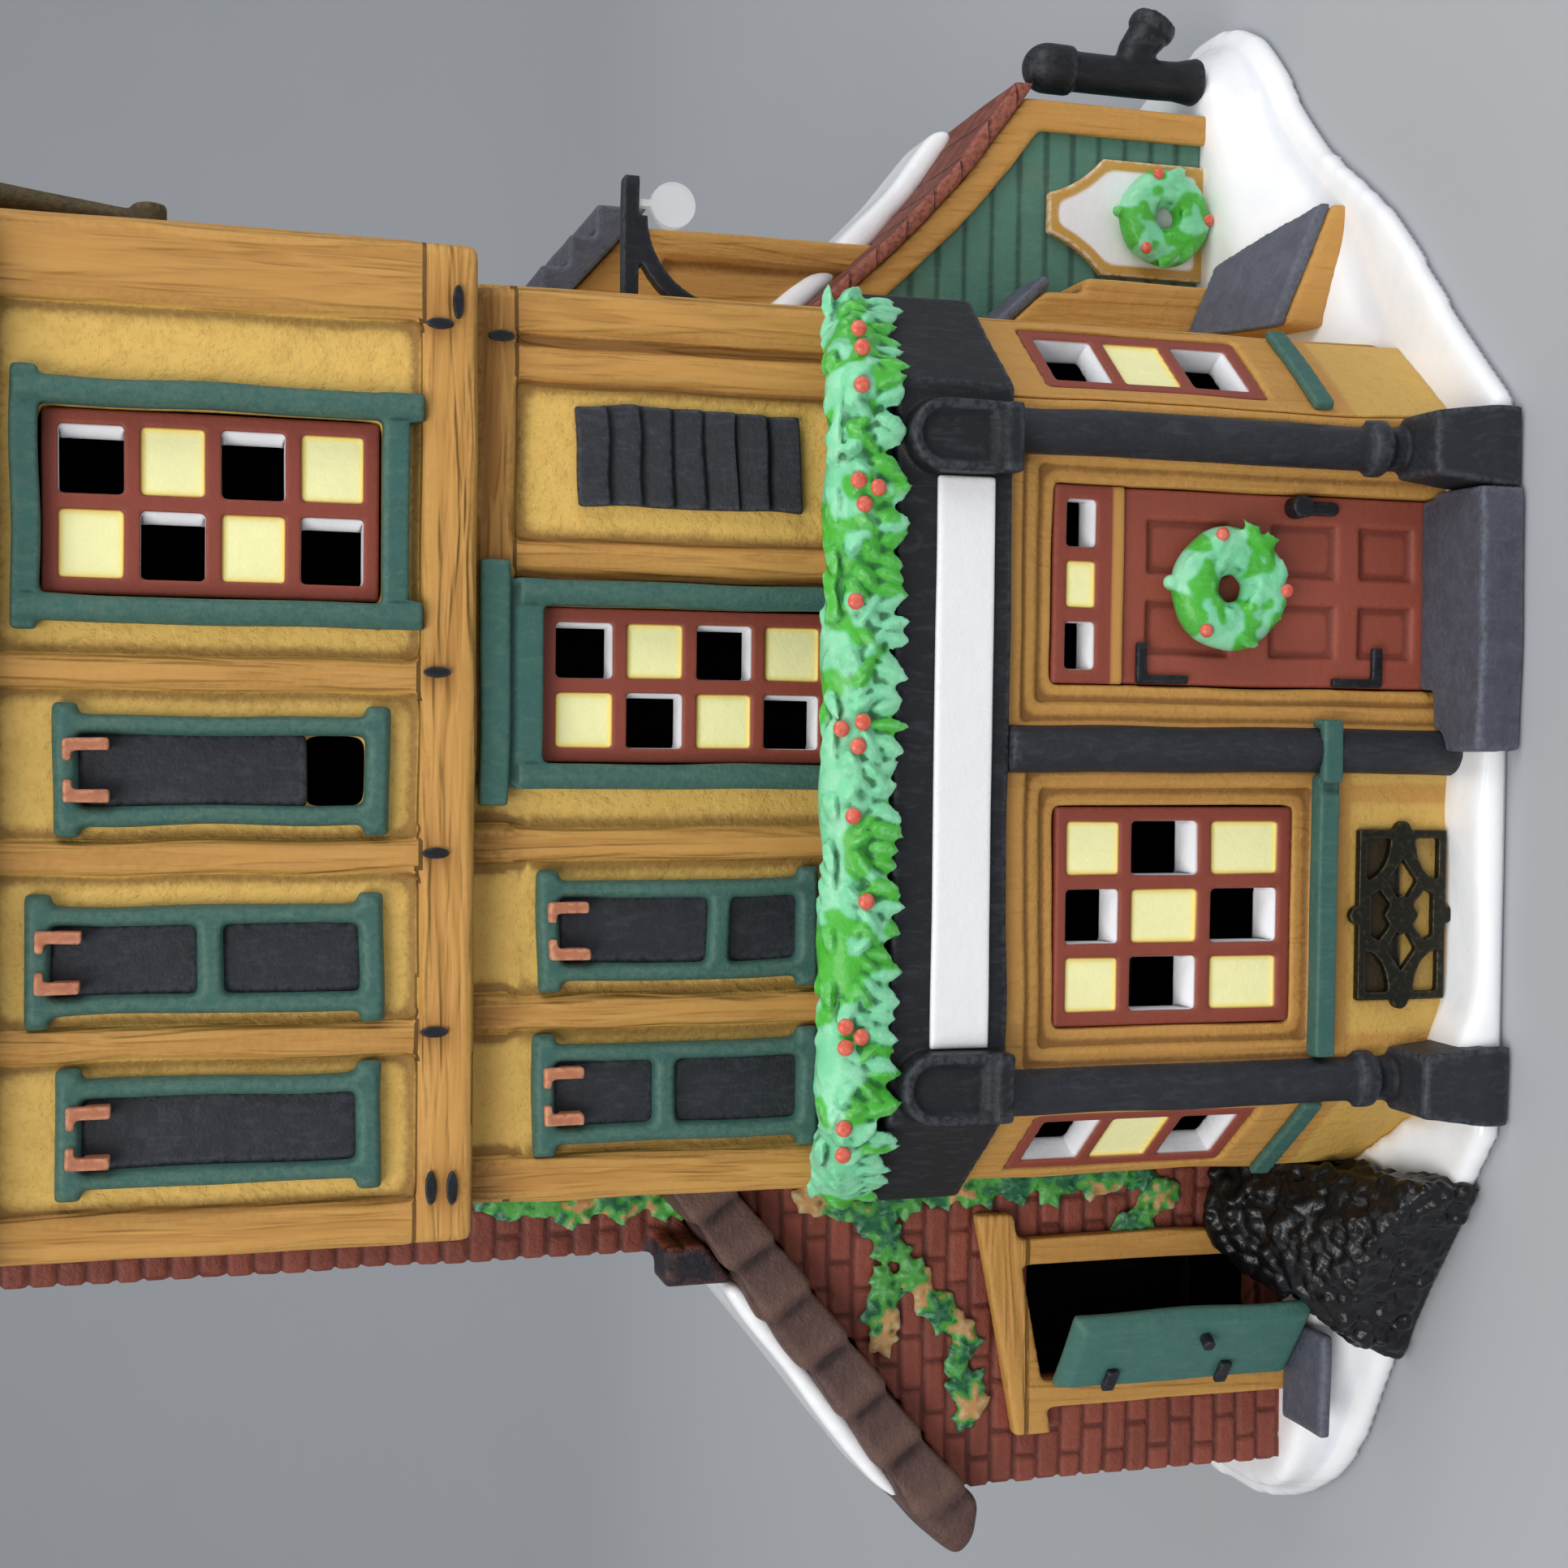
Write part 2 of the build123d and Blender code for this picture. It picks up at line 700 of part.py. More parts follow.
# Columns: half-round shafts with a ring, the outer two on square bases and the middle one on the snow
fascia_z = base_thick + fascia_low
with BuildPart() as shop_columns:
    for share in column_shares:
        x = share * bay_half
        on_base = share != column_shares[1]
        shaft_low = base_thick + column_base_height if on_base else base_thick
        with BuildSketch(facing(x, bay_front_y, 0)):
            rect(0, column_radius, shaft_low, fascia_z)
            if on_base:
                rect(0, column_ring, shaft_low + column_ring_height, shaft_low + 2 * column_ring_height)
        revolve(axis=Axis((x, bay_front_y, 0), (0, 0, -1)), revolution_arc=180)
        if on_base:
            base_middle = (bay_front_y + overrun - base_depth - column_foot) / 2
            with BuildSketch(Plane.XY.offset(base_thick)):
                with Locations((x, base_middle)):
                    Rectangle(column_base_width, base_depth + column_foot + bay_front_y + overrun)
            extrude(amount=column_base_height, taper=column_base_taper)
            block(x - column_base_width / 2, x + column_base_width / 2,
                  -base_depth - column_foot, -base_depth - lute, 0, base_thick)
    block(-core_half, core_half, bay_front_y, front_y, 0, shop_top, mode=Mode.SUBTRACT)
shop_columns.part.label = "shop_columns"
export_step(shop_columns.part, "parts/shop_columns.step")
middle_column_x = column_shares[1] * bay_half

# Green sills under the shop window and on the slanting sides
sill_z = base_thick + sill_low - lute
with BuildPart() as shop_sills:
    with BuildSketch(Plane.XY.offset(sill_z - sill_height)):
        rect(column_shares[0] * bay_half + column_radius + lute, middle_column_x,
             bay_front_y - sill_depth, bay_front_y)
        wrap = column_radius + sill_wrap
        rect(middle_column_x - wrap, middle_column_x + wrap, bay_front_y - wrap, bay_front_y)
        with Locations((middle_column_x, bay_front_y)):
            Circle(column_radius + lute, mode=Mode.SUBTRACT)
    extrude(amount=sill_height)
    tongue = shop_sash_width / 2 + surround_steps * surround_step - lute
    block(shop_sash_x - tongue, shop_sash_x + tongue, bay_front_y, bay_front_y + surround_drop,
          sill_z - sill_height, base_thick + shop_sash_low - surround_step - lute)
    for side in (-1, 1):
        with BuildSketch(bay_side_plane(side)):
            with Locations((side * side_sill_shift, sill_z - sill_height / 2)):
                Rectangle(2 * side_sill_share * bay_side, sill_height)
        extrude(amount=sill_depth / 2)
shop_sills.part.label = "shop_sills"
export_step(shop_sills.part, "parts/shop_sills.step")

# Slate step: a tread with a tongue in the doorway, and a riser in front of the base
step_front_y = bay_front_y - step_depth
step_left = door_x - door_width / 2 - step_left_over
step_right = column_shares[2] * bay_half - column_base_width / 2 - lute
with BuildPart() as door_step:
    with BuildSketch(Plane.XY.offset(base_thick)):
        rect(step_left, step_right, step_front_y, bay_front_y)
        rect(door_x - door_width / 2 + lute, door_x + door_width / 2 - lute, bay_front_y, door_face_y)
        with Locations((middle_column_x, bay_front_y)):
            Circle(column_radius + lute, mode=Mode.SUBTRACT)
    extrude(amount=step_thick)
    block(step_left + lute, step_right, step_front_y + lute, -base_depth - lute, 0, base_thick)
door_step.part.label = "door_step"
export_step(door_step.part, "parts/door_step.step")

# Fascia round the bay, with a scroll console above each outer column
fascia_face_y = bay_front_y - fascia_thick
console_low = fascia_z + lute
console_middles = [share * bay_half for share in console_shares]
with BuildPart() as fascia:
    with BuildSketch(Plane.XY.offset(fascia_z)):
        Polygon(*bay_plan(fascia_thick), align=None)
        Polygon(*bay_plan(0), align=None, mode=Mode.SUBTRACT)
    extrude(amount=fascia_height)
    for middle in console_middles:
        half = console_width / 2
        with BuildSketch(facing(middle, fascia_face_y, console_low)):
            rect(-half, half, 0, console_height - half)
            with Locations((0, console_height - half)):
                Circle(half)
        extrude(amount=console_depth)
        with BuildSketch(facing(middle, fascia_face_y - console_depth, console_low)):
            rect(console_rim - half, half - console_rim, console_foot + console_rim, console_height - half)
            with Locations((0, console_height - half)):
                Circle(half - console_rim)
        extrude(amount=-console_sink, mode=Mode.SUBTRACT)
        block(middle - half, middle + half, fascia_face_y - console_depth - console_foot_over, fascia_face_y,
              console_low, console_low + console_foot)
fascia.part.label = "fascia"
export_step(fascia.part, "parts/fascia.step")

# Bare white board between the consoles
with BuildPart() as sign_panel:
    with BuildSketch(facing(0, fascia_face_y, fascia_z + sign_rise)):
        rect(console_middles[0] + console_width / 2 + lute, console_middles[1] - console_width / 2 - lute,
             0, sign_height)
    extrude(amount=sign_thick)
sign_panel.part.label = "sign_panel"
export_step(sign_panel.part, "parts/sign_panel.step")

# Garland along the bay roof: a rounded rope with leaf tips that hang over the fascia
garland_low = shop_top + bay_roof_thick
side_leaf_reach = bay_side / 2 - leaf_width
front_leaf_reach = bay_half - leaf_width / 2
with BuildPart() as garland:
    with BuildSketch(Plane.XY.offset(garland_low)):
        Polygon(*bay_plan(garland_out), align=None)
        Polygon(*bay_plan(-garland_in), align=None, mode=Mode.SUBTRACT)
    extrude(amount=garland_height)
    fillet(garland.edges().group_by(Axis.Z)[-1], garland_round)
    for plane, reach, count in (
        (facing(0, fascia_face_y, garland_low), front_leaf_reach, leaf_count),
        (bay_side_plane(-1, fascia_thick, garland_low), side_leaf_reach, side_leaf_count),
        (bay_side_plane(1, fascia_thick, garland_low), side_leaf_reach, side_leaf_count),
    ):
        with BuildSketch(plane):
            for index in range(count):
                x = reach * (2 * index / (count - 1) - 1)
                clear = console_width / 2 + leaf_width / 2
                if plane.z_dir.X == 0 and min(abs(x - middle) for middle in console_middles) < clear:
                    continue
                Polygon((x, -leaf_length / 2), (x + leaf_width / 2, leaf_mid_share * leaf_length),
                        (x, leaf_length / 2), (x - leaf_width / 2, leaf_mid_share * leaf_length), align=None)
        extrude(amount=garland_out - fascia_thick)
garland.part.label = "garland"
export_step(garland.part, "parts/garland.step")

# Berries: half-round beads on the front of the garland
berry_rise = (garland_height - garland_round) / 2
with BuildPart() as garland_berries:
    for index, share in enumerate(berry_shares):
        place = facing(share * bay_half, bay_front_y - garland_out,
                       garland_low + berry_rise + (index % 3 - 1) * berry_radius / 2)
        with Locations(place):
            Sphere(berry_radius, arc_size1=0, arc_size2=quarter_turn,
                   align=(Align.CENTER, Align.CENTER, Align.MIN))
garland_berries.part.label = "garland_berries"
export_step(garland_berries.part, "parts/garland_berries.step")

# Metal vent grille: a frame with lozenge tracery and four lugs, fixed to the dado
with BuildPart() as vent_grille:
    inner_width = grille_width - 2 * grille_bar
    inner_height = grille_height - 2 * grille_bar
    with BuildSketch(facing(shop_sash_x, bay_front_y, grille_z)):
        Rectangle(inner_width, inner_height)
        with GridLocations(inner_width, inner_height, 2, 2):
            Ellipse(grille_corner_shares[0] * grille_width, grille_corner_shares[1] * grille_height,
                    mode=Mode.SUBTRACT)
        for hole in grille_hole_shares:
            Polygon(*[(x * grille_width, z * grille_height) for x, z in hole], align=None, mode=Mode.SUBTRACT)
        with BuildSketch(mode=Mode.PRIVATE) as rim:
            Rectangle(grille_width, grille_height)
            Rectangle(inner_width, inner_height, mode=Mode.SUBTRACT)
        add(rim.sketch)
        with GridLocations(grille_width, 0, 2, 1):
            Circle(grille_lug)
        with GridLocations(0, grille_height, 1, 2):
            Circle(grille_lug)
    extrude(amount=grille_thick)
vent_grille.part.label = "vent_grille"
export_step(vent_grille.part, "parts/vent_grille.step")


# House core: left, right and rear walls, the rear one with the lamp hole
def core_side(side):
    """Side wall of the core, from the base up to the jettied storey."""
    with BuildSketch(side_on(side * core_half)) as outline:
        rect(front_y + wall, rear_y - wall, base_thick, first_top)
    extrude(outline.sketch, amount=-side * wall)


with BuildPart() as left_wall:
    core_side(-1)
left_wall.part.label = "left_wall"
export_step(left_wall.part, "parts/left_wall.step")

with BuildPart() as right_wall:
    core_side(1)
right_wall.part.label = "right_wall"
export_step(right_wall.part, "parts/right_wall.step")

with BuildPart() as rear_wall:
    with BuildSketch(facing(0, rear_y, 0)):
        rect(-core_half, core_half, base_thick, first_top)
        with Locations((0, lamp_z)):
            Circle(lamp_hole, mode=Mode.SUBTRACT)
    extrude(amount=wall)
rear_wall.part.label = "rear_wall"
export_step(rear_wall.part, "parts/rear_wall.step")


def framed_front(half, y, low, high, stud_shares, low_rail):
    """Stucco front with raised timbers: corner posts, top rail, studs and, where it has one, a low rail."""
    with BuildSketch(facing(0, y + wall, 0)) as stucco:
        rect(-half, half, low, high)
    extrude(stucco.sketch, amount=wall - relief)
    with BuildSketch(facing(0, y + relief, 0)) as timbers:
        for side in (-1, 1):
            rect(min(side * half, side * (half - corner_post)), max(side * half, side * (half - corner_post)),
                 low, high)
        for share in stud_shares:
            rect(share * half - stud / 2, share * half + stud / 2, low, high)
        rect(-half, half, high - top_rail_height, high)
        if low_rail:
            rect(-half, half, low, low + low_rail)
    extrude(timbers.sketch, amount=relief)


def clear_window(x, y, low, width, height, has_sill):
    """Opening for a sash, and the seat of its frame, cut out of a framed front."""
    half = width / 2
    ear = half + frame_bar + frame_proud + lute
    with BuildSketch(facing(x, y, low)) as opening:
        rect(-half, half, 0, height)
    extrude(opening.sketch, amount=-wall - overrun, mode=Mode.SUBTRACT)
    with BuildSketch(facing(x, y, low)) as seat:
        rect(-ear, ear, -frame_bar - lute if has_sill else 0, height + frame_bar + lute)
    extrude(seat.sketch, amount=-relief, mode=Mode.SUBTRACT)


# First-floor front
first_window = (first_sash_x, front_y, shop_top + first_sash_low, first_sash_width, first_sash_height, False)
with BuildPart() as first_floor_front:
    framed_front(core_half, front_y, shop_top, first_top, first_stud_shares, 0)
    clear_window(*first_window)
first_floor_front.part.label = "first_floor_front"
export_step(first_floor_front.part, "parts/first_floor_front.step")

# Upper-storey front: its low rail reaches back over the first floor, and one shutter stands half open
upper_window = (upper_sash_x, upper_front_y, first_top + upper_sash_low, upper_sash_width,
                upper_sash_height, True)
with BuildPart() as upper_front:
    framed_front(upper_half, upper_front_y, first_top, upper_top, upper_stud_shares, rail_height)
    block(-upper_half, upper_half, upper_front_y + wall, front_y + wall, first_top, first_top + rail_height)
    clear_window(*upper_window)
    for shares, railed in zip(upper_shutter_shares, upper_railed):
        x, foot, head, divide = shutter_spans(shares, upper_half, first_top, upper_height)
        if not railed and divide > foot + shutter_bar:
            with BuildSketch(facing(x, upper_front_y, 0)):
                rect(-shutter_width / 2 + shutter_jamb, shutter_width / 2 - shutter_jamb,
                     foot + shutter_bar, divide)
            extrude(amount=-wall - overrun, mode=Mode.SUBTRACT)
upper_front.part.label = "upper_front"
export_step(upper_front.part, "parts/upper_front.step")

# Green window frames of the two floors, and the header strip on the rail of the first floor
with BuildPart() as window_frames:
    for x, y, low, width, height, has_sill in (first_window, upper_window):
        window_frame(x, y + relief, low, width, height, has_sill)
    header_half = first_sash_width / 2 + frame_bar + 2 * frame_proud
    header_z = shop_top + first_sash_low + first_sash_height + frame_bar + frame_proud
    block(first_sash_x - header_half, first_sash_x + header_half, front_y - header_proud, front_y,
          header_z, header_z + header_height)
window_frames.part.label = "window_frames"
export_step(window_frames.part, "parts/window_frames.step")

# Shutters: green frames with wider heads and sills, dark panels and copper-coloured hinges
with BuildPart() as shutters:
    for table, railed_table, half, floor, height, y in storeys:
        for shares, railed in zip(table, railed_table):
            x, foot, head, divide = shutter_spans(shares, half, floor, height)
            with BuildSketch(facing(x, y, 0)):
                rect(-shutter_width / 2, shutter_width / 2, foot, head)
                rect(-shutter_width / 2 + shutter_jamb, shutter_width / 2 - shutter_jamb,
                     foot + shutter_bar, head - shutter_bar, mode=Mode.SUBTRACT)
                rect(-shutter_head / 2, shutter_head / 2, head - shutter_bar, head)
                rect(-shutter_head / 2, shutter_head / 2, foot, foot + shutter_bar)
                if railed:
                    with Locations((0, divide)):
                        Rectangle(shutter_width, shutter_bar)
            extrude(amount=shutter_proud)
shutters.part.label = "shutters"
export_step(shutters.part, "parts/shutters.step")

panel_half = shutter_width / 2 - shutter_jamb - lute
with BuildPart() as shutter_panels:
    for table, railed_table, half, floor, height, y in storeys:
        for shares, railed in zip(table, railed_table):
            x, foot, head, divide = shutter_spans(shares, half, floor, height)
            panel_low = divide + shutter_bar / 2 if railed else max(divide, foot + shutter_bar)
            with BuildSketch(facing(x, y, 0)):
                rect(-panel_half, panel_half, panel_low + lute, head - shutter_bar - lute)
                if railed:
                    rect(-panel_half, panel_half, foot + shutter_bar + lute, divide - shutter_bar / 2 - lute)
            extrude(amount=shutter_panel_thick)
shutter_panels.part.label = "shutter_panels"
export_step(shutter_panels.part, "parts/shutter_panels.step")

with BuildPart() as shutter_hinges:
    for table, railed_table, half, floor, height, y in storeys:
        for shares in table:
            x, foot, head, divide = shutter_spans(shares, half, floor, height)
            seat = head - shutter_bar - lute
            for side in (-1, 1):
                outer = side * (panel_half - hinge_inset)
                strap = sorted((outer, outer - side * hinge_width))
                hook = sorted((outer, outer - side * hinge_hook))
                with BuildSketch(facing(x, y - shutter_proud, 0)):
                    rect(*strap, seat - hinge_drop, head - hinge_inset)
                    rect(*hook, head - hinge_inset - hinge_width, head - hinge_inset)
                extrude(amount=hinge_thick)
                with BuildSketch(facing(x, y - shutter_panel_thick, 0)):
                    rect(*strap, seat - hinge_drop, seat)
                extrude(amount=shutter_proud - shutter_panel_thick)
shutter_hinges.part.label = "shutter_hinges"
export_step(shutter_hinges.part, "parts/shutter_hinges.step")

# Louvre: a ladder of sloping slats on the stucco
louvre_back_y = front_y + relief
slat = louvre_height / louvre_slats
with BuildPart() as louvre:
    with BuildSketch(side_on(louvre_x - louvre_width / 2)):
        teeth = [(louvre_back_y, shop_top + louvre_low)]
        for index in range(louvre_slats):
            rise = shop_top + louvre_low + index * slat
            teeth.append((louvre_back_y - louvre_proud, rise))
            teeth.append((louvre_back_y - louvre_proud / 2, rise + slat))
        teeth.append((louvre_back_y, shop_top + louvre_low + louvre_height))
        Polygon(*teeth, align=None)
    extrude(amount=louvre_width)
louvre.part.label = "louvre"
export_step(louvre.part, "parts/louvre.step")

# Iron pegs in the low rail of the upper storey, and one in the first floor's top rail
peg_table = [(share * upper_half, upper_front_y, first_top + rise * rail_height, turn)
             for share, rise, turn in peg_shares]
peg_table.append((first_peg_share * core_half, front_y, first_top - first_peg_drop, peg_shares[1][2]))
with BuildPart() as iron_pegs:
    for x, y, z, turn in peg_table:
        with BuildSketch(facing(x, y, z)):
            Ellipse(peg_radius * peg_stretch_share, peg_radius, rotation=turn)
        extrude(amount=peg_proud)
iron_pegs.part.label = "iron_pegs"
export_step(iron_pegs.part, "parts/iron_pegs.step")


# Upper sides with their gables, seated on the core's side walls
def upper_side(side):
    """Gabled side of the upper storey, with the ledge that seats it on the core."""
    with BuildSketch(side_on(side * upper_half)) as gable:
        Polygon(
            (front_y + wall, first_top), (rear_y - wall, first_top), (rear_y - wall, upper_top),
            (rear_y, upper_top), (ridge_y, ridge_z), (upper_front_y, upper_top),
            (upper_front_y + wall, upper_top), (upper_front_y + wall, first_top + rail_height),
            (front_y + wall, first_top + rail_height), align=None)
    extrude(gable.sketch, amount=-side * wall)
    with BuildSketch(side_on(side * (upper_half - wall))) as ledge:
        rect(front_y + wall, rear_y - wall, first_top, first_top + rail_height)
    extrude(ledge.sketch, amount=-side * jetty_side)


with BuildPart() as upper_left:
    upper_side(-1)
upper_left.part.label = "upper_left"
export_step(upper_left.part, "parts/upper_left.step")

with BuildPart() as upper_right:
    upper_side(1)
upper_right.part.label = "upper_right"
export_step(upper_right.part, "parts/upper_right.step")

with BuildPart() as upper_rear:
    with BuildSketch(facing(0, rear_y, 0)):
        rect(-upper_half, upper_half, first_top, upper_top)
    extrude(amount=wall)
upper_rear.part.label = "upper_rear"
export_step(upper_rear.part, "parts/upper_rear.step")

# Main roof: two slopes of lapped tile courses that meet at the ridge, notched round the chimney
slope_length = (rear_y - ridge_y) / cos(radians(roof_pitch)) + eave_over
bare_length = (1 - roof_snow_share) * slope_length
chimney_rear_y = chimney_front_y + chimney_depth


def roof_point(side, down, up):
    """Point on a roof slope: a distance down from the ridge and a height square to the slope."""
    lean = radians(roof_pitch)
    return (ridge_y + side * (down * cos(lean) + up * sin(lean)), ridge_z - down * sin(lean) + up * cos(lean))


def ridge_point(up):
    """Point on the ridge line above a layer of the roof."""
    return (ridge_y, ridge_z + up / cos(radians(roof_pitch)))


def notch_for_chimney():
    """Room for the chimney stack beside the gable."""
    block(-chimney_left - lute, -upper_half, chimney_front_y - lute, chimney_rear_y + lute,
          upper_top - overrun, chimney_top, mode=Mode.SUBTRACT)


def roof_slope(side):
    """One slope of the main roof with its courses of tiles."""
    outline = [(ridge_y, ridge_z), roof_point(side, slope_length, 0)]
    tile_course = bare_length / tile_courses
    for index in range(tile_courses):
        low = slope_length - index * tile_course
        outline.append(roof_point(side, low, roof_thick + tile_lip))
        outline.append(roof_point(side, low - tile_course, roof_thick))
    outline.append(ridge_point(roof_thick))
    with BuildSketch(side_on(-upper_half - verge_over)) as section:
        Polygon(*outline, align=None)
    extrude(section.sketch, amount=2 * (upper_half + verge_over))
    notch_for_chimney()


with BuildPart() as roof_front:
    roof_slope(-1)
roof_front.part.label = "roof_front"
export_step(roof_front.part, "parts/roof_front.step")

with BuildPart() as roof_rear:
    roof_slope(1)
roof_rear.part.label = "roof_rear"
export_step(roof_rear.part, "parts/roof_rear.step")

# Lean-to roof section, measured out from the house wall
lean_out = lean_length + lean_eave
lean_snow_start = chimney_left + corbel_out - core_half + lute
lean_snow_end = lean_out - lean_snow_inset - lean_tip


def lean_roof(out, up):
    """Point on the lean-to roof: a distance out from the house and a height above its underside."""
    return (-core_half - out, lean_high - lean_fall_share * out + up)


# Snow on the main roof, the lean-to and the shed
shed_outer = core_half + shed_length


def shed_curve(out, up):
    """Point on the sagging shed roof: a distance out from the house and a height above its underside."""
    share = out / shed_length
    sag = 4 * shed_sag * share * (1 - share)
    return (core_half + out, shed_low + shed_rise * (1 - share) - sag + up)


def shed_line(up, thin_share=0):
    """Broken line along the shed roof at a height above its underside, thinner towards the eave."""
    return [shed_curve(share * shed_length, up * (1 - thin_share * share)) for share in shed_break_shares]


with BuildPart() as roof_snow:
    snow_length = roof_snow_share * slope_length - lute
    with BuildSketch(side_on(-upper_half)):
        Polygon(
            ridge_point(roof_thick), roof_point(-1, snow_length, roof_thick),
            roof_point(-1, snow_length - snow_thick, roof_thick + snow_thick),
            ridge_point(roof_thick + snow_thick),
            roof_point(1, snow_length - snow_thick, roof_thick + snow_thick),
            roof_point(1, snow_length, roof_thick), align=None)
    extrude(amount=2 * upper_half)
    notch_for_chimney()
    with BuildSketch(facing(0, lean_front_y - lean_verge + lean_snow_inset, 0)):
        Polygon(
            lean_roof(lean_snow_start, lean_roof_thick), lean_roof(lean_snow_end, lean_roof_thick),
            lean_roof(lean_snow_end - snow_thick, lean_roof_thick + lean_snow),
            lean_roof(lean_snow_start, lean_roof_thick + lean_snow), align=None)
    extrude(amount=lean_front_y - lean_rear_y - lean_verge + lean_snow_inset)
    with BuildSketch(facing(0, shed_front_y - shed_verge / 2, 0)):
        drift = [(x, z + shed_tile) for x, z in shed_line(shed_snow, shed_thin_share)]
        Polygon(*shed_line(shed_tile), *reversed(drift), align=None)
    extrude(amount=shed_front_y - shed_verge / 2 - shed_rear_y)
    block(core_half, core_half + wing_length + lute, wing_front_y - lute, shed_rear_y + overrun,
          right_ground, first_top, mode=Mode.SUBTRACT)
roof_snow.part.label = "roof_snow"
export_step(roof_snow.part, "parts/roof_snow.step")

# Chimney: a stack that stands on the lean-to roof, with a cap, two pots and a corbel at its foot
with BuildPart() as chimney:
    with BuildSketch(facing(0, chimney_rear_y, 0)):
        reach = chimney_left - core_half
        Polygon(
            lean_roof(0, lean_roof_thick), (-core_half, first_top), (-upper_half, first_top),
            (-upper_half, chimney_top), (-chimney_left, chimney_top),
            lean_roof(reach, lean_roof_thick), align=None)
    extrude(amount=chimney_depth)
    stack_x = -(chimney_left + upper_half) / 2
    stack_y = (chimney_front_y + chimney_rear_y) / 2
    with BuildSketch(Plane.XY.offset(chimney_top)):
        with Locations((stack_x, stack_y)):
            Rectangle(chimney_left - upper_half + 2 * chimney_cap_over, chimney_depth + 2 * chimney_cap_over)
    extrude(amount=chimney_cap)
    with BuildSketch(Plane.XY.offset(chimney_top + chimney_cap)):
        with Locations((stack_x, stack_y)):
            with GridLocations(0, chimney_depth / 2, 1, 2):
                Circle(pot_radius)
                Circle(pot_radius - pot_wall, mode=Mode.SUBTRACT)
    extrude(amount=pot_height)
    with BuildSketch(facing(0, chimney_front_y, 0)):
        corbel_far = chimney_left + corbel_out - core_half
        corbel_near = corbel_far - corbel_width
        Polygon(
            lean_roof(corbel_far, lean_roof_thick), lean_roof(corbel_near, lean_roof_thick),
            (-core_half - corbel_near, corbel_top), (-core_half - corbel_far, corbel_top), align=None)
    extrude(amount=corbel_depth)
chimney.part.label = "chimney"
export_step(chimney.part, "parts/chimney.step")

# Lean-to walls: the front with its hatch, and the side and rear as one piece
hatch_z = left_ground + hatch_low
hatch_fall = lean_fall_share / 4


def under_lean_roof(z):
    """Outline of the lean-to front from a level up to the underside of its roof."""
    return [(-core_half, z), lean_roof(0, 0), lean_roof(lean_length, 0), (-core_half - lean_length, z)]


with BuildPart() as lean_to_front:
    with BuildSketch(facing(0, lean_front_y + wall, 0)):
        Polygon(*under_lean_roof(left_ground), align=None)
        rect(hatch_x - hatch_width / 2, hatch_x + hatch_width / 2, hatch_z, hatch_z + hatch_height,
             mode=Mode.SUBTRACT)
    extrude(amount=wall)
lean_to_front.part.label = "lean_to_front"
export_step(lean_to_front.part, "parts/lean_to_front.step")

with BuildPart() as lean_to_back:
    with BuildSketch(facing(0, lean_rear_y, 0)):
        Polygon(*under_lean_roof(left_ground), align=None)
    extrude(amount=wall)
    with BuildSketch(facing(0, lean_rear_y - wall, 0)):
        Polygon(
            (-core_half - lean_length, left_ground), lean_roof(lean_length, 0),
            lean_roof(lean_length - wall, 0), (-core_half - lean_length + wall, left_ground), align=None)
    extrude(amount=lean_rear_y - lean_front_y - 2 * wall)
lean_to_back.part.label = "lean_to_back"
export_step(lean_to_back.part, "parts/lean_to_back.step")

with BuildPart() as lean_to_roof:
    with BuildSketch(facing(0, lean_rear_y, 0)):
        Polygon(
            lean_roof(0, 0), lean_roof(lean_length, 0),
            lean_roof(lean_out - lean_tip / 2, lean_tip_shares[0] * lean_roof_thick),
            lean_roof(lean_out, lean_tip_shares[1] * lean_roof_thick),
            lean_roof(lean_out - lean_tip, lean_roof_thick), lean_roof(0, lean_roof_thick), align=None)
    extrude(amount=lean_rear_y - lean_front_y + lean_verge)
lean_to_roof.part.label = "lean_to_roof"
export_step(lean_to_roof.part, "parts/lean_to_roof.step")

# Hatch frame: two posts under a lintel that follows the fall of the roof
with BuildPart() as hatch_frame:
    left_post = hatch_x - hatch_width / 2 - hatch_post
    right_post = hatch_x + hatch_width / 2 + hatch_post
    hatch_top = hatch_z + hatch_height
    with BuildSketch(facing(0, lean_front_y, 0)):
        post_top = hatch_top + hatch_lintel / 2
        rect(left_post, left_post + hatch_post, left_ground, post_top)
        rect(right_post - hatch_post, right_post, left_ground, post_top)
        lintel_left = left_post - hatch_lintel_over
        lintel_right = right_post + hatch_lintel_over
        lintel_fall = hatch_fall * (lintel_right - lintel_left)
        Polygon(
            (lintel_left, hatch_top - lintel_fall / 2), (lintel_right, hatch_top + lintel_fall / 2),
            (lintel_right, hatch_top + lintel_fall / 2 + hatch_lintel),
            (lintel_left, hatch_top - lintel_fall / 2 + hatch_lintel), align=None)
    extrude(amount=hatch_proud)
hatch_frame.part.label = "hatch_frame"
export_step(hatch_frame.part, "parts/hatch_frame.step")

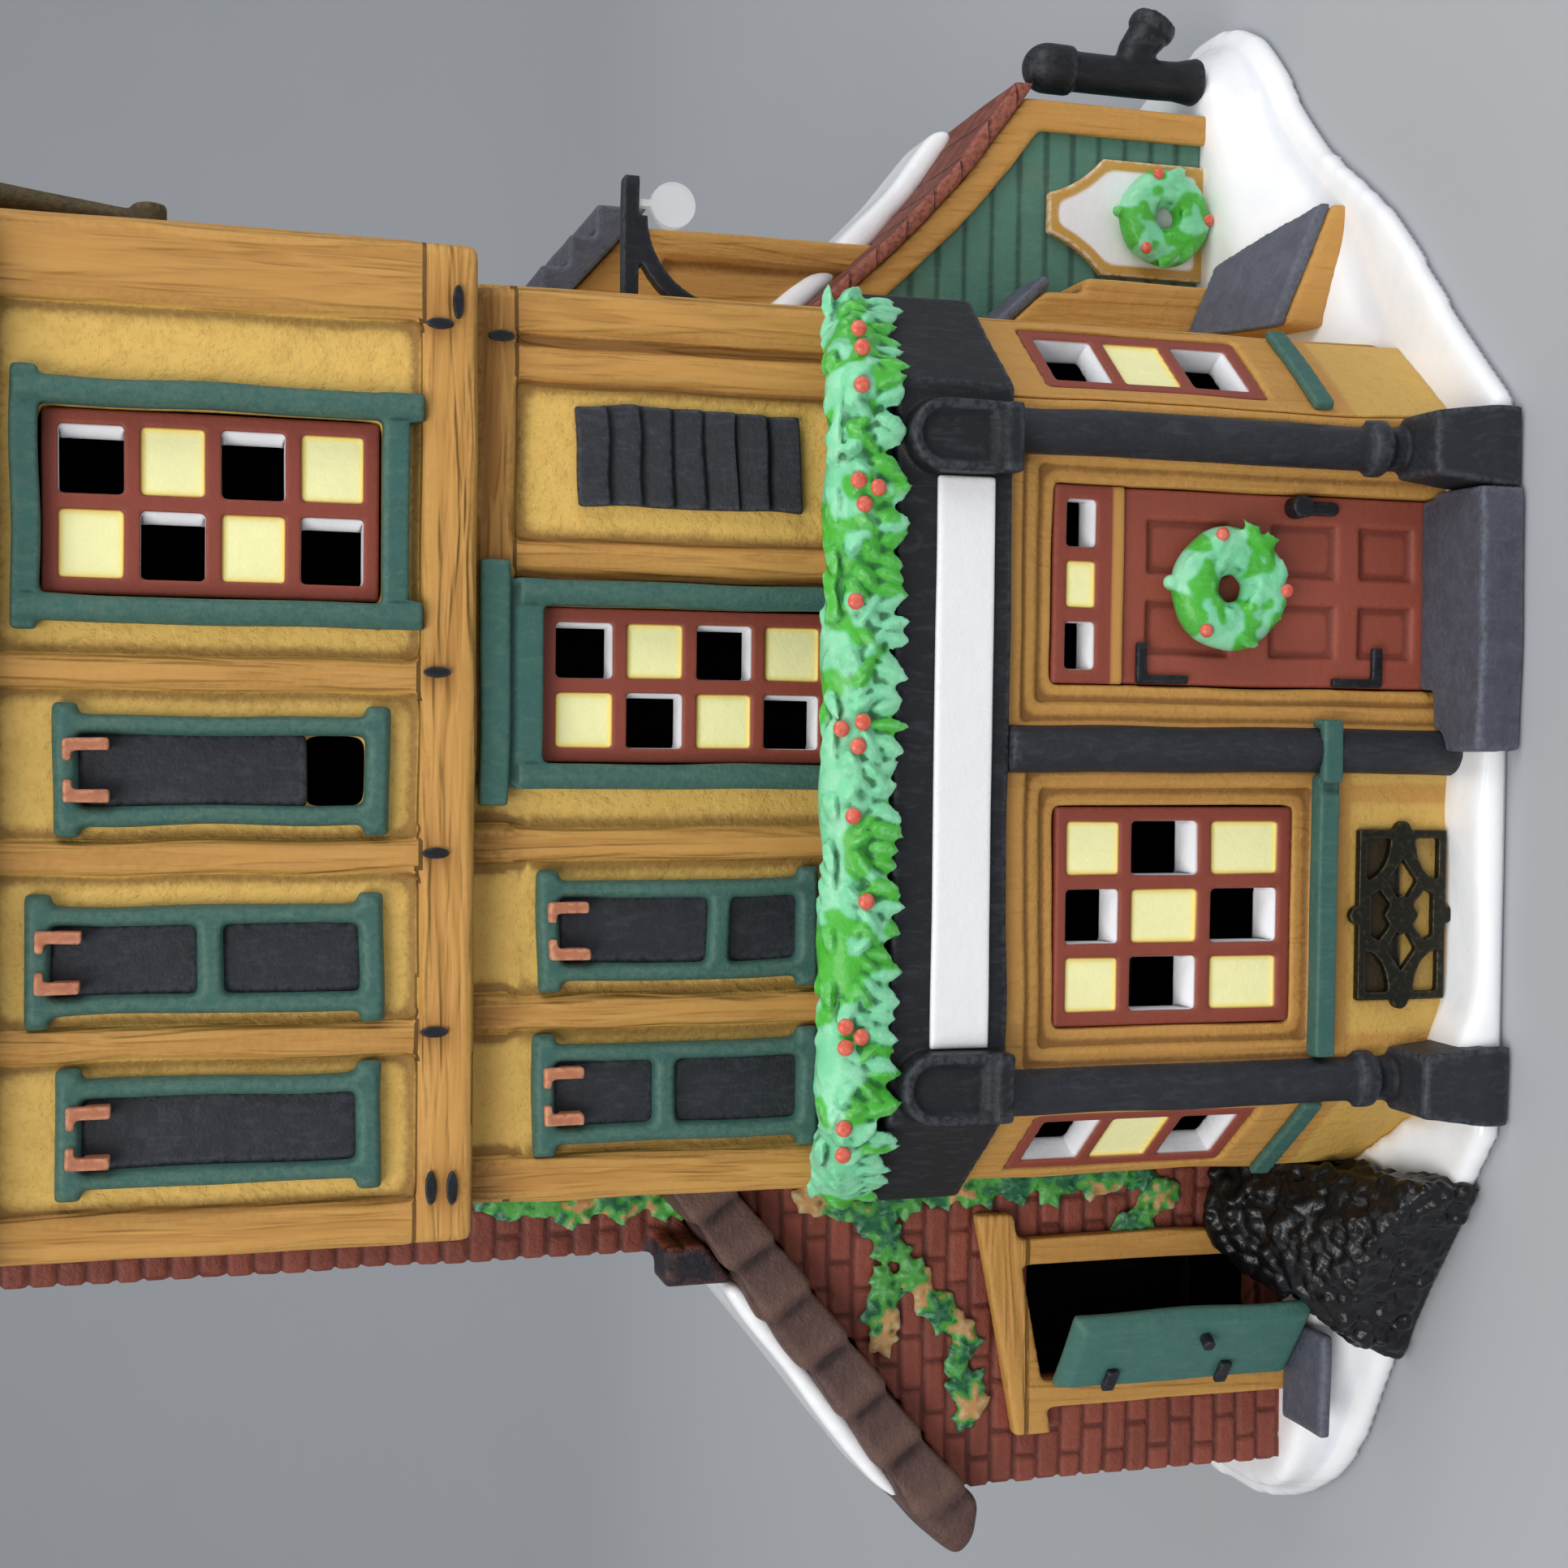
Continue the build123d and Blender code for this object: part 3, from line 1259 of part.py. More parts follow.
# Hatch door: a bevelled leaf that stands ajar against the left post
door_swing = radians(hatch_swing)
leaf_along = Vector(cos(door_swing), -sin(door_swing), 0)
leaf_out = Vector(-sin(door_swing), -cos(door_swing), 0)
hatch_leaf_height = hatch_top - left_ground - flag_thick - hatch_lintel
with BuildPart() as hatch_door:
    hinge_line = Vector(left_post + hatch_post, lean_front_y - hatch_proud - lute, left_ground + flag_thick)
    leaf_plane = Plane(origin=hinge_line, x_dir=leaf_along, z_dir=leaf_out)
    with BuildSketch(leaf_plane):
        rect(0, hatch_door_width, 0, hatch_leaf_height)
    extrude(amount=hatch_door_thick)
    chamfer(hatch_door.faces().sort_by(Axis(hinge_line, leaf_out))[-1].edges(),
            hatch_door_bevel)
hatch_door.part.label = "hatch_door"
export_step(hatch_door.part, "parts/hatch_door.step")

# Ironwork: handle and angled hinges of the house door, hinges and knob of the hatch door
with BuildPart() as door_ironwork:
    with BuildSketch(facing(door_x - door_width / 2, door_face_y, door_low)):
        for share, way in door_strap_shares:
            foot = share * door_height
            rect(2 * lute, hinge_length, *sorted((foot, foot + way * door_hinge_bar)))
            rect(2 * lute, door_hinge_bar, *sorted((foot, foot + way * door_strap_rise)))
    extrude(amount=hinge_thick)
    handle_x = door_x + door_width / 2 - handle_width
    handle_z = door_low + handle_share * door_height
    with BuildSketch(facing(handle_x, door_face_y, handle_z)):
        SlotOverall(handle_length, handle_width, rotation=quarter_turn)
    extrude(amount=hinge_thick)
    with BuildSketch(facing(handle_x, door_face_y, handle_z + handle_length / 2 - knob_radius)):
        Circle(knob_radius)
    extrude(amount=2 * knob_radius)
    with BuildSketch(leaf_plane.offset(hatch_door_thick)):
        for share in hatch_hinge_shares:
            hinge_z = share * hatch_leaf_height
            rect(hatch_door_bevel, hatch_door_bevel + hatch_post, hinge_z, hinge_z + handle_width)
    extrude(amount=hinge_thick)
    with BuildSketch(leaf_plane.offset(hatch_door_thick)):
        with Locations((hatch_door_width - hatch_post, hatch_leaf_height / 2)):
            Circle(handle_width / 2)
    extrude(amount=handle_width)
door_ironwork.part.label = "door_ironwork"
export_step(door_ironwork.part, "parts/door_ironwork.step")

# Coal heap, spilling from the hatch over the snow, with lumps on its face
coal_rear_y = lean_front_y - hatch_proud - lute
coal_run = coal_front_y - coal_rear_y


def coal_point(out_share, rise_share):
    """Point of the heap in X and Z: a share of its length out from the house and a share of its height."""
    return (-core_half - coal_right_out - out_share * coal_length,
            base_thick + rise_share * (coal_top - base_thick))


with BuildPart() as coal_heap:
    for along_share, left_share, crest_share, top_share, right_share in coal_section_shares:
        with BuildSketch(facing(0, coal_rear_y + along_share * coal_run, 0)):
            with BuildLine():
                left_foot = coal_point(left_share, 0)
                right_top = coal_point(0, right_share)
                Spline(left_foot, coal_point(crest_share, top_share), right_top)
                Polyline(right_top, (right_top[0], 0), (left_foot[0], 0), left_foot)
            make_face()
    loft()
    for across_share, along_share in coal_lump_shares:
        off_crest_share = across_share - coal_section_shares[0][2]
        rise_share = (1 - along_share * coal_fall_share) * (1 - off_crest_share ** 2 * coal_spread_share)
        lump_x, lump_z = coal_point(across_share, rise_share)
        lump_y = coal_rear_y + along_share * coal_run
        with Locations(Location((lump_x, lump_y, lump_z - coal_lump / 2), (coal_tilt, coal_tilt, coal_tilt))):
            Box(coal_lump, coal_lump, coal_lump)
    with BuildSketch(Plane.XY):
        with BuildLine():
            heap_edge = [(x * coal_spill_share, y * coal_spill_share) for x, y in base_edge]
            Spline(*heap_edge)
            Line(heap_edge[-1], heap_edge[0])
        make_face()
    extrude(amount=first_top, mode=Mode.INTERSECT)
    add(snow_base.part, mode=Mode.SUBTRACT)
    add(left_wall.part, mode=Mode.SUBTRACT)
    leaf_end = hinge_line + leaf_along * hatch_door_width + leaf_out * hatch_door_thick
    block(-base_half, leaf_end.X + hatch_door_thick, leaf_end.Y - hatch_door_thick, coal_rear_y,
          left_ground + flag_thick - lute, first_top, mode=Mode.SUBTRACT)
    block(-base_half, base_half, coal_rear_y, rear_y, 0, first_top, mode=Mode.SUBTRACT)
coal_heap.part.label = "coal_heap"
export_step(coal_heap.part, "parts/coal_heap.step")

# Ivy: leaves that climb the lean-to front beside the house
with BuildPart() as ivy:
    with BuildSketch(facing(0, lean_front_y, 0)):
        for out_share, up_share in ivy_leaf_shares:
            with Locations((-core_half - out_share * lean_length,
                            left_ground + up_share * (lean_high - left_ground))):
                RegularPolygon(ivy_leaf, 5)
        rect(-core_half, 0, left_ground, first_top, mode=Mode.SUBTRACT)
    extrude(amount=ivy_thick)
    add(lean_to_roof.part, mode=Mode.SUBTRACT)
ivy.part.label = "ivy"
export_step(ivy.part, "parts/ivy.step")


# Rear wing with a stepped slate roof that falls away from the house
def wing_roof_point(out, up):
    """Point on the wing roof: a distance out from the house and a height above its underside."""
    return (core_half + out, wing_low + wing_pitch_share * (wing_length - out) + up)


wing_outer = core_half + wing_length
wing_outline = [(core_half, right_ground), wing_roof_point(0, 0), wing_roof_point(wing_length, 0),
                (wing_outer, right_ground)]
with BuildPart() as wing_walls:
    for y in (wing_front_y + wall, wing_rear_y):
        with BuildSketch(facing(0, y, 0)):
            Polygon(*wing_outline, align=None)
        extrude(amount=wall)
    with BuildSketch(facing(0, wing_rear_y - wall, 0)):
        Polygon(*wing_outline, align=None)
        rect(wing_outer - wall, wing_outer, right_ground, first_top, mode=Mode.INTERSECT)
    extrude(amount=wing_rear_y - wing_front_y - 2 * wall)
    with BuildSketch(facing(0, wing_front_y, 0)):
        rect(core_half, wing_outer - wing_rail, wing_rail_z + wing_rail, wing_low - wing_rail)
    extrude(amount=-wing_reveal, mode=Mode.SUBTRACT)
wing_walls.part.label = "wing_walls"
export_step(wing_walls.part, "parts/wing_walls.step")

with BuildPart() as wing_roof:
    with BuildSketch(facing(0, wing_rear_y, 0)):
        course = (wing_length + wing_eave) / wing_courses
        steps = [wing_roof_point(wing_length + wing_eave, 0), wing_roof_point(0, 0)]
        for index in range(wing_courses):
            x, z = wing_roof_point(index * course, wing_slate)
            steps.append((x, z))
            steps.append((x + course, z))
        Polygon(*steps, align=None)
    extrude(amount=wing_rear_y - wing_front_y + wing_eave)
wing_roof.part.label = "wing_roof"
export_step(wing_roof.part, "parts/wing_roof.step")

# Plank shed: boarded front, side and rear walls under a sagging tiled roof
shed_outline = [(core_half, right_ground), *shed_line(0), (shed_outer, right_ground)]
with BuildPart() as shed_walls:
    with BuildSketch(facing(0, shed_front_y + wall, 0)):
        Polygon(*shed_outline, align=None)
    extrude(amount=wall)
    with BuildSketch(facing(0, shed_rear_y - wall, 0)):
        Polygon(*shed_outline, align=None)
        rect(shed_outer - wall, shed_outer, right_ground, first_top, mode=Mode.INTERSECT)
    extrude(amount=shed_rear_y - shed_front_y - 2 * wall)
    with BuildSketch(facing(0, shed_rear_y, 0)):
        Polygon(*shed_outline, align=None)
        rect(wing_outer + lute, shed_outer, right_ground, first_top, mode=Mode.INTERSECT)
    extrude(amount=wall)
    plank_count = int((shed_low + shed_rise - right_ground) / plank_width)
    with BuildSketch(facing(0, shed_front_y, 0)):
        for index in range(1, plank_count):
            groove = right_ground + index * plank_width - plank_groove / 2
            rect(core_half - overrun, shed_outer + overrun, groove, groove + plank_groove)
    extrude(amount=-plank_groove, mode=Mode.SUBTRACT)
shed_walls.part.label = "shed_walls"
export_step(shed_walls.part, "parts/shed_walls.step")

with BuildPart() as shed_roof:
    with BuildSketch(facing(0, shed_rear_y, 0)):
        eave_low = shed_curve(shed_length + shed_eave, 0)
        eave_high = shed_curve(shed_length + shed_eave, shed_tile)
        Polygon(*shed_line(0), eave_low, eave_high, *reversed(shed_line(shed_tile)), align=None)
    extrude(amount=shed_rear_y - shed_front_y + shed_verge)
    block(core_half, wing_outer + lute, wing_front_y - lute, shed_rear_y + overrun,
          right_ground, first_top, mode=Mode.SUBTRACT)
shed_roof.part.label = "shed_roof"
export_step(shed_roof.part, "parts/shed_roof.step")

# Golden bargeboard and corner post on the shed front
with BuildPart() as shed_trim:
    with BuildSketch(facing(0, shed_front_y, 0)):
        Polygon(*shed_line(0), *reversed(shed_line(-barge_depth)), align=None)
        rect(shed_outer - shed_post, shed_outer, right_ground, shed_low)
    extrude(amount=barge_thick)
shed_trim.part.label = "shed_trim"
export_step(shed_trim.part, "parts/shed_trim.step")

# Bare white board with drawn-in shoulders, standing against the shed
with BuildPart() as shed_sign:
    with BuildSketch(facing(shed_sign_x, shed_front_y, right_ground)):
        with BuildLine():
            foot_half = shed_sign_width / 2
            top_half = shed_sign_top_share * foot_half
            shoulder = shed_sign_shoulder_share * shed_sign_height
            Polyline((-foot_half, shoulder), (-foot_half, 0), (foot_half, 0), (foot_half, shoulder))
            RadiusArc((foot_half, shoulder), (top_half, shed_sign_height), shed_sign_width)
            Line((top_half, shed_sign_height), (-top_half, shed_sign_height))
            RadiusArc((-top_half, shed_sign_height), (-foot_half, shoulder), shed_sign_width)
        make_face()
    extrude(amount=shed_sign_thick)
shed_sign.part.label = "shed_sign"
export_step(shed_sign.part, "parts/shed_sign.step")

# Buttress and coal bunker against the right side of the house
buttress_top = right_ground + buttress_height
bunker_front_y = buttress_front_y - bunker_reach
weathering = [(core_half, buttress_top + buttress_upper_height + buttress_upper_rise),
              (core_half + buttress_upper_length, buttress_top + buttress_upper_height)]
bunker_plan = [(bunker_left, buttress_front_y), (bunker_left + bunker_rear_length, buttress_front_y),
               (bunker_left + bunker_length, bunker_front_y), (bunker_left, bunker_front_y)]
lid_across = Vector(bunker_length, 0, -bunker_side_drop)
lid_back = Vector(0, bunker_reach, bunker_front_drop)
lid_plane = Plane(origin=(bunker_left, buttress_front_y, bunker_rear_z), x_dir=lid_across,
                  z_dir=lid_across.cross(lid_back))
with BuildPart() as side_buttress:
    with BuildSketch(Plane.XY.offset(base_thick)):
        Polygon(*bunker_plan, align=None)
    extrude(amount=bunker_rear_z)
    split(bisect_by=lid_plane, keep=Keep.BOTTOM)
    add(snow_base.part, mode=Mode.SUBTRACT)
    block(core_half, core_half + buttress_length, buttress_front_y, buttress_rear_y, right_ground, buttress_top)
    with BuildSketch(facing(0, buttress_rear_y, 0)):
        Polygon((core_half, buttress_top), *weathering, (core_half + buttress_upper_length, buttress_top),
                align=None)
    extrude(amount=buttress_rear_y - buttress_front_y)
side_buttress.part.label = "side_buttress"
export_step(side_buttress.part, "parts/side_buttress.step")

# Slates: the buttress weathering, the bunker lid and the flag at the hatch
with BuildPart() as slates:
    with BuildSketch(Plane.XY.offset(base_thick)):
        Polygon(*bunker_plan, align=None)
    extrude(amount=bunker_rear_z + slate_thick)
    split(bisect_by=lid_plane.offset(slate_thick), keep=Keep.BOTTOM)
    split(bisect_by=lid_plane, keep=Keep.TOP)
    with BuildSketch(facing(0, buttress_rear_y, 0)):
        high, low = (Vector(*point) for point in weathering)
        fall = (low - high).normalized()
        up = Vector(-fall.Y, fall.X)
        Polygon(*[(point.X, point.Y) for point in (
            high, low + fall * slate_over, low + fall * slate_over + up * slate_thick,
            high + up * slate_thick)], align=None)
        rect(0, core_half, right_ground, first_top, mode=Mode.SUBTRACT)
    extrude(amount=buttress_rear_y - buttress_front_y)
    block(flag_x - flag_width / 2, flag_x + flag_width / 2, coal_rear_y - flag_depth, coal_rear_y,
          left_ground, left_ground + flag_thick)
    add(coal_heap.part, mode=Mode.SUBTRACT)
    add(snow_base.part, mode=Mode.SUBTRACT)
slates.part.label = "slates"
export_step(slates.part, "parts/slates.step")

# Yard pump: a turned post with a ring and a domed cap, and a spout that slopes down to the right
with BuildPart() as yard_pump:
    with BuildSketch(Plane(origin=(pump_x, pump_y, right_ground), x_dir=(1, 0, 0), z_dir=(0, -1, 0))):
        with BuildLine():
            collar = pump_height - pump_cap_height
            Polyline((0, pump_height), (0, 0), (pump_cap_radius, 0), (pump_radius, pump_cap_radius),
                     (pump_radius, collar - slate_thick), (pump_cap_radius, collar - slate_thick),
                     (pump_cap_radius, pump_height - pump_cap_radius))
            RadiusArc((pump_cap_radius, pump_height - pump_cap_radius), (0, pump_height), -pump_cap_radius)
        make_face()
    revolve(axis=Axis((pump_x, pump_y, right_ground), (0, 0, 1)))
    spout_dip = radians(spout_angle)
    spout_plane = Plane(origin=(pump_x, pump_y, right_ground + spout_height), x_dir=(0, 1, 0),
                        z_dir=(cos(spout_dip), 0, -sin(spout_dip)))
    with BuildSketch(spout_plane):
        Circle(spout_radius)
    extrude(amount=spout_length)
    with BuildSketch(spout_plane.offset(spout_length - spout_ring_length)):
        Circle(spout_ring)
    extrude(amount=spout_ring_length)
yard_pump.part.label = "yard_pump"
export_step(yard_pump.part, "parts/yard_pump.step")

# Iron bracket with a curved brace, and the clear lamp that hangs from it
brace_x = core_half + bracket_brace_share * bracket_length
with BuildPart() as lamp_bracket:
    with BuildSketch(facing(0, bracket_y + bracket_bar / 2, 0)):
        with Locations((brace_x, bracket_z - bracket_brace)):
            Circle(bracket_brace)
            Circle(bracket_brace - bracket_bar, mode=Mode.SUBTRACT)
        rect(core_half, brace_x, bracket_z - bracket_brace, bracket_z, mode=Mode.INTERSECT)
        rect(core_half, core_half + bracket_length, bracket_z - bracket_bar / 2, bracket_z + bracket_bar / 2)
    extrude(amount=bracket_bar)
lamp_bracket.part.label = "lamp_bracket"
export_step(lamp_bracket.part, "parts/lamp_bracket.step")

lantern_x = core_half + lantern_reach_share * bracket_length
with BuildPart() as lantern_glass:
    with BuildSketch(facing(lantern_x, bracket_y + lantern_thick / 2, 0)):
        with Locations((0, bracket_z - lantern_drop)):
            Circle(lantern_radius)
        rect(-lantern_thick / 4, lantern_thick / 4, bracket_z - lantern_drop, bracket_z - bracket_bar / 2)
    extrude(amount=lantern_thick)
lantern_glass.part.label = "lantern_glass"
export_step(lantern_glass.part, "parts/lantern_glass.step")

# Pole in a wall socket at the upper right corner
with BuildPart() as wall_pole:
    with BuildSketch(Plane(origin=(upper_half, pole_y, pole_z), x_dir=(0, 1, 0), z_dir=(1, 0, 0))):
        Circle(socket_radius)
    extrude(amount=2 * socket_radius)
    with Locations(Location((upper_half + socket_radius, pole_y, pole_z), (0, pole_lean, 0))):
        Cone(pole_low_radius, pole_high_radius, pole_length, align=(Align.CENTER, Align.CENTER, Align.MIN))
wall_pole.part.label = "wall_pole"
export_step(wall_pole.part, "parts/wall_pole.step")

# Lamp: a holder that pushes into the hole in the rear wall, with the bulb's cap and its glass
lamp_plane = Plane(origin=(0, rear_y, lamp_z), x_dir=(1, 0, 0), z_dir=(0, 0, 1))
lamp_axis = Axis((0, rear_y, lamp_z), (0, 1, 0))
cup_bore = bulb_cap_radius + lamp_gap
with BuildPart() as lamp_holder:
    with BuildSketch(lamp_plane):
        rect(bulb_neck / 2, flange_radius, 0, flange_thick)
        rect(lamp_hole - lamp_gap - collar_wall, lamp_hole - lamp_gap, -collar_length, 0)
        rect(cup_bore, lamp_cup_radius, -lamp_cup_length, 0)
    revolve(axis=lamp_axis)
lamp_holder.part.label = "lamp_holder"
export_step(lamp_holder.part, "parts/lamp_holder.step")

with BuildPart() as bulb_cap:
    with BuildSketch(lamp_plane):
        rect(0, bulb_cap_radius, -bulb_cap_length, 0)
    revolve(axis=lamp_axis)
bulb_cap.part.label = "bulb_cap"
export_step(bulb_cap.part, "parts/bulb_cap.step")

with BuildPart() as bulb_glass:
    with BuildSketch(lamp_plane):
        with BuildLine():
            neck = (bulb_neck, -bulb_cap_length)
            tip = (0, -bulb_cap_length - bulb_length)
            Spline(neck, (bulb_radius, -bulb_cap_length - bulb_belly_share * bulb_length), tip)
            Line(tip, (0, -bulb_cap_length))
            Line((0, -bulb_cap_length), neck)
        make_face()
    revolve(axis=lamp_axis)
bulb_glass.part.label = "bulb_glass"
export_step(bulb_glass.part, "parts/bulb_glass.step")
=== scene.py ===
"""Ceramic Christmas village house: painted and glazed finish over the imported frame, laid out as an add-on."""
import math
import random

import bmesh
import bpy
import numpy as np
from mathutils import Matrix, Vector
from mathutils.kdtree import KDTree


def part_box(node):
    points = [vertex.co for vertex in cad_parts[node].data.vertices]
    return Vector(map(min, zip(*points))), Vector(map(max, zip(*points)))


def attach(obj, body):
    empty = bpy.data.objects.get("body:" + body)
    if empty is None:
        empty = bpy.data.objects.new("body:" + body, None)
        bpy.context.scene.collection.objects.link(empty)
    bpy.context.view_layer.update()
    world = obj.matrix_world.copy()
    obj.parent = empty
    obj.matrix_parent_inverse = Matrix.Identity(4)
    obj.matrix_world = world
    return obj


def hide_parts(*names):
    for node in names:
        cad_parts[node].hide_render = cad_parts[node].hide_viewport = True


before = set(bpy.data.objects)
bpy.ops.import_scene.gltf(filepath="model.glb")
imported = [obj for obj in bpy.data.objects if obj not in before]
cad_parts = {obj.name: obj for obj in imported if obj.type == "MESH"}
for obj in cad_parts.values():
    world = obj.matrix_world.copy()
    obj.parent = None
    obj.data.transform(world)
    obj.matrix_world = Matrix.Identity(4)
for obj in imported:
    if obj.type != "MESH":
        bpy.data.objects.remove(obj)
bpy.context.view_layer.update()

bl_info = {
    "name": "Ceramic village house",
    "version": (1, 0, 0),
    "blender": (4, 5, 0),
    "location": "View3D > Sidebar > Village house",
    "description": "Dresses the village house's frame as a painted ceramic casting",
    "category": "Object",
}

MM = 0.001
WOBBLE_PERIOD = 9.0  # of the hand-made unevenness, in millimetres
PAINT_EDGE = 0.3  # width of a soft edge between timber and stucco, in millimetres

# A slanting side of the bay: its direction outwards and back, and a point half way along it in millimetres
BAY_OUT, BAY_BACK = 10.0 / math.hypot(10, 12), 12.0 / math.hypot(10, 12)
BAY_MIDDLE = (41.5, -38.0)

# Faces of the timber-framed walls, how far their added members reach in, and half of each rear member's width
UPPER_FACE, FIRST_FACE, REAR_FACE, CORE_SIDE, UPPER_SIDE = 36.0, 32.0, 39.0, 47.5, 50.5
MEMBER_DEPTH = 2.0
POST, STUD, BEAM = 1.9, 1.6, 2.2

# Members added to the side walls: from and to in depth, then from and to in height
CORE_MEMBERS = ((-28.8, -24.4, 2.6, 108), (-28.8, 34.8, 103.6, 107.9), (30.6, 34.8, 2.6, 108),
                (-28.8, 34.8, 62.5, 66.5), (-8, -4.6, 66, 104))
UPPER_MEMBERS = ((-32.8, -28.6, 113, 158), (30.6, 34.8, 108, 158), (-28.8, 34.8, 108.2, 113.4),
                 (-32.8, 34.8, 153.8, 157.8), (-12, -8.6, 113, 156), (9.6, 13, 113, 156), (-0.8, 2.8, 157, 196))

# Heights between which a wall's members lie level
UPPER_RAILS = ((108, 113.6), (153.6, 159))
FIRST_RAILS = ((103.6, 109),)
SIDE_RAILS = ((62, 67), (103.5, 113.6), (153.5, 158.5))
REAR_RAILS = ((2, 8), (62, 67), (103, 113.6), (153, 159))

# The garland's way along the fascia, its height and its berries, and the berries of a wreath as turn and reach
GARLAND_ROUTE = ((-46.5, -32, 0), (-36.5, -44, 0), (36.5, -44, 0), (46.5, -32, 0))
GARLAND_HEIGHT = 71.5
GARLAND_BERRIES = ((42.3, 71.2), (40.0, 71.6), (36.1, 72.0), (26.7, 72.2), (26.1, 70.1), (24.4, 71.5), (14.8, 72.3),
                   (2.2, 73.5), (2.9, 71.4), (0.5, 71.9), (-6.4, 72.3), (-14.9, 70.8), (-27.3, 72.8), (-28.4, 71.1),
                   (-29.4, 72.8), (-37.6, 72.6), (-40.4, 72.4))
WREATH_BERRIES = ((2.50, 0.82), (0.305, 0.83), (4.69, 0.84))

# Ivy strands on the lean-to's wall and on the stack: their depth, then their stops across and up
IVY_STRANDS = (
    (-20.15, ((-50.3, 67.8), (-51.9, 62.1), (-56.8, 58.1), (-62.3, 59.0), (-66.8, 60.4))),
    (-20.15, ((-58.7, 56.2), (-62.6, 53.2), (-67.5, 50.1), (-72.3, 49.1), (-77.5, 48.0))),
    (-20.15, ((-51.1, 60.2), (-50.5, 53.3), (-50.2, 43.4), (-49.5, 35.3), (-49.4, 28.1), (-51.9, 23.9),
              (-54.6, 28.0), (-55.9, 31.1))),
    (-15.15, ((-50.0, 104.4), (-51.2, 99.0), (-51.0, 92.7), (-50.8, 85.3), (-51.2, 80.6))))
IVY_LOBES = ((0, 1.0), (1.05, 0.85), (-1.05, 0.85), (2.4, 0.6), (-2.4, 0.6))


def tone(red, green, blue):
    """Linear colour from display values between 0 and 255."""
    return tuple((v / 255 / 12.92) if v < 11 else ((v / 255 + 0.055) / 1.055) ** 2.4 for v in (red, green, blue))


def paint_property(name, red, green, blue):
    """A paint's colour as a setting, from display values between 0 and 255."""
    return bpy.props.FloatVectorProperty(
        name=name, description=f"{name} of the ceramic paint", default=tone(red, green, blue),
        subtype="COLOR", size=3, min=0, max=1)


def number(name, about, value, **limits):
    """A number as a setting."""
    return bpy.props.FloatProperty(name=name, description=about, default=value, **limits)


def whole(name, about, value, **limits):
    """A whole number as a setting."""
    return bpy.props.IntProperty(name=name, description=about, default=value, **limits)


class HousePaint(bpy.types.PropertyGroup):
    """Paints of the house."""
    timber: paint_property("Timber", 196, 145, 76)
    timber_dark: paint_property("Timber furrow", 158, 108, 50)
    timber_shade: paint_property("Timber in the shade", 124, 84, 38)
    timber_light: paint_property("Timber ridge", 206, 158, 86)
    stucco: paint_property("Stucco", 227, 187, 100)
    stucco_dark: paint_property("Stucco wash", 200, 152, 74)
    lattice: paint_property("Lattice", 140, 68, 54)
    pane: paint_property("Blind pane", 253, 250, 186)
    pane_edge: paint_property("Blind pane edge", 246, 220, 108)
    reveal: paint_property("Bare reveal", 240, 240, 243)
    green: paint_property("Frame green", 58, 99, 92)
    charcoal: paint_property("Charcoal", 40, 42, 48)
    copper: paint_property("Copper", 178, 112, 82)
    black: paint_property("Black", 24, 25, 29)
    mint: paint_property("Mint leaf", 122, 210, 160)
    leaf: paint_property("Green leaf", 74, 180, 54)
    leaf_dark: paint_property("Leaf shade", 18, 92, 46)
    ivy: paint_property("Dark ivy leaf", 22, 92, 56)
    ivy_light: paint_property("Light ivy leaf", 66, 150, 48)
    ivy_tan: paint_property("Dry ivy leaf", 190, 136, 80)
    berry: paint_property("Berry", 214, 88, 68)
    board: paint_property("Board", 240, 240, 243)
    brick: paint_property("Brick", 136, 70, 56)
    joint: paint_property("Brick joint", 98, 50, 41)
    tile: paint_property("Tile", 88, 64, 60)
    tile_edge: paint_property("Tile edge", 118, 90, 78)
    shed_tile: paint_property("Shed tile", 126, 68, 56)
    plank: paint_property("Shed board", 84, 130, 114)
    slate: paint_property("Slate", 88, 91, 104)
    snow: paint_property("Snow", 250, 251, 253)
    coal: paint_property("Coal", 13, 13, 16)
    # Painted shade: a near-black paint for the insides, the deep parts of the open panes and the ground under the
    # rooms, where only shade falls
    inside: paint_property("Unlit inside", 14, 12, 12)
    pole: paint_property("Pole", 74, 62, 38)
    door: paint_property("Door", 150, 76, 60)
    grille: paint_property("Grille", 34, 33, 26)
    board_rim: paint_property("Board's rim", 196, 150, 66)
    plank_worn: paint_property("Worn shed board", 128, 112, 70)
    plank_joint: paint_property("Joint of the shed boards", 36, 60, 54)
    leaf_tip: paint_property("Leaf tip", 196, 244, 214)


class HouseCasting(bpy.types.PropertyGroup):
    """Softness of the castings."""
    plain: number("Plain skin", "Voxel of the fronts, in millimetres", 0.42, min=0.2, max=2)
    coarse: number("Coarse skin", "Voxel of unseen sides, in millimetres", 0.75, min=0.3, max=3)
    passes: whole("Softening passes", "Smoothing passes over each skin", 5, min=0, max=40)
    melt: whole("Rounding passes", "Passes that round the casting's edges", 9, min=0, max=20)
    wobble: number("Hand wobble", "Unevenness of the casting, in millimetres", 0.22, min=0, max=1)
    seed: whole("Seed", "Seed of everything scattered", 7, min=0)


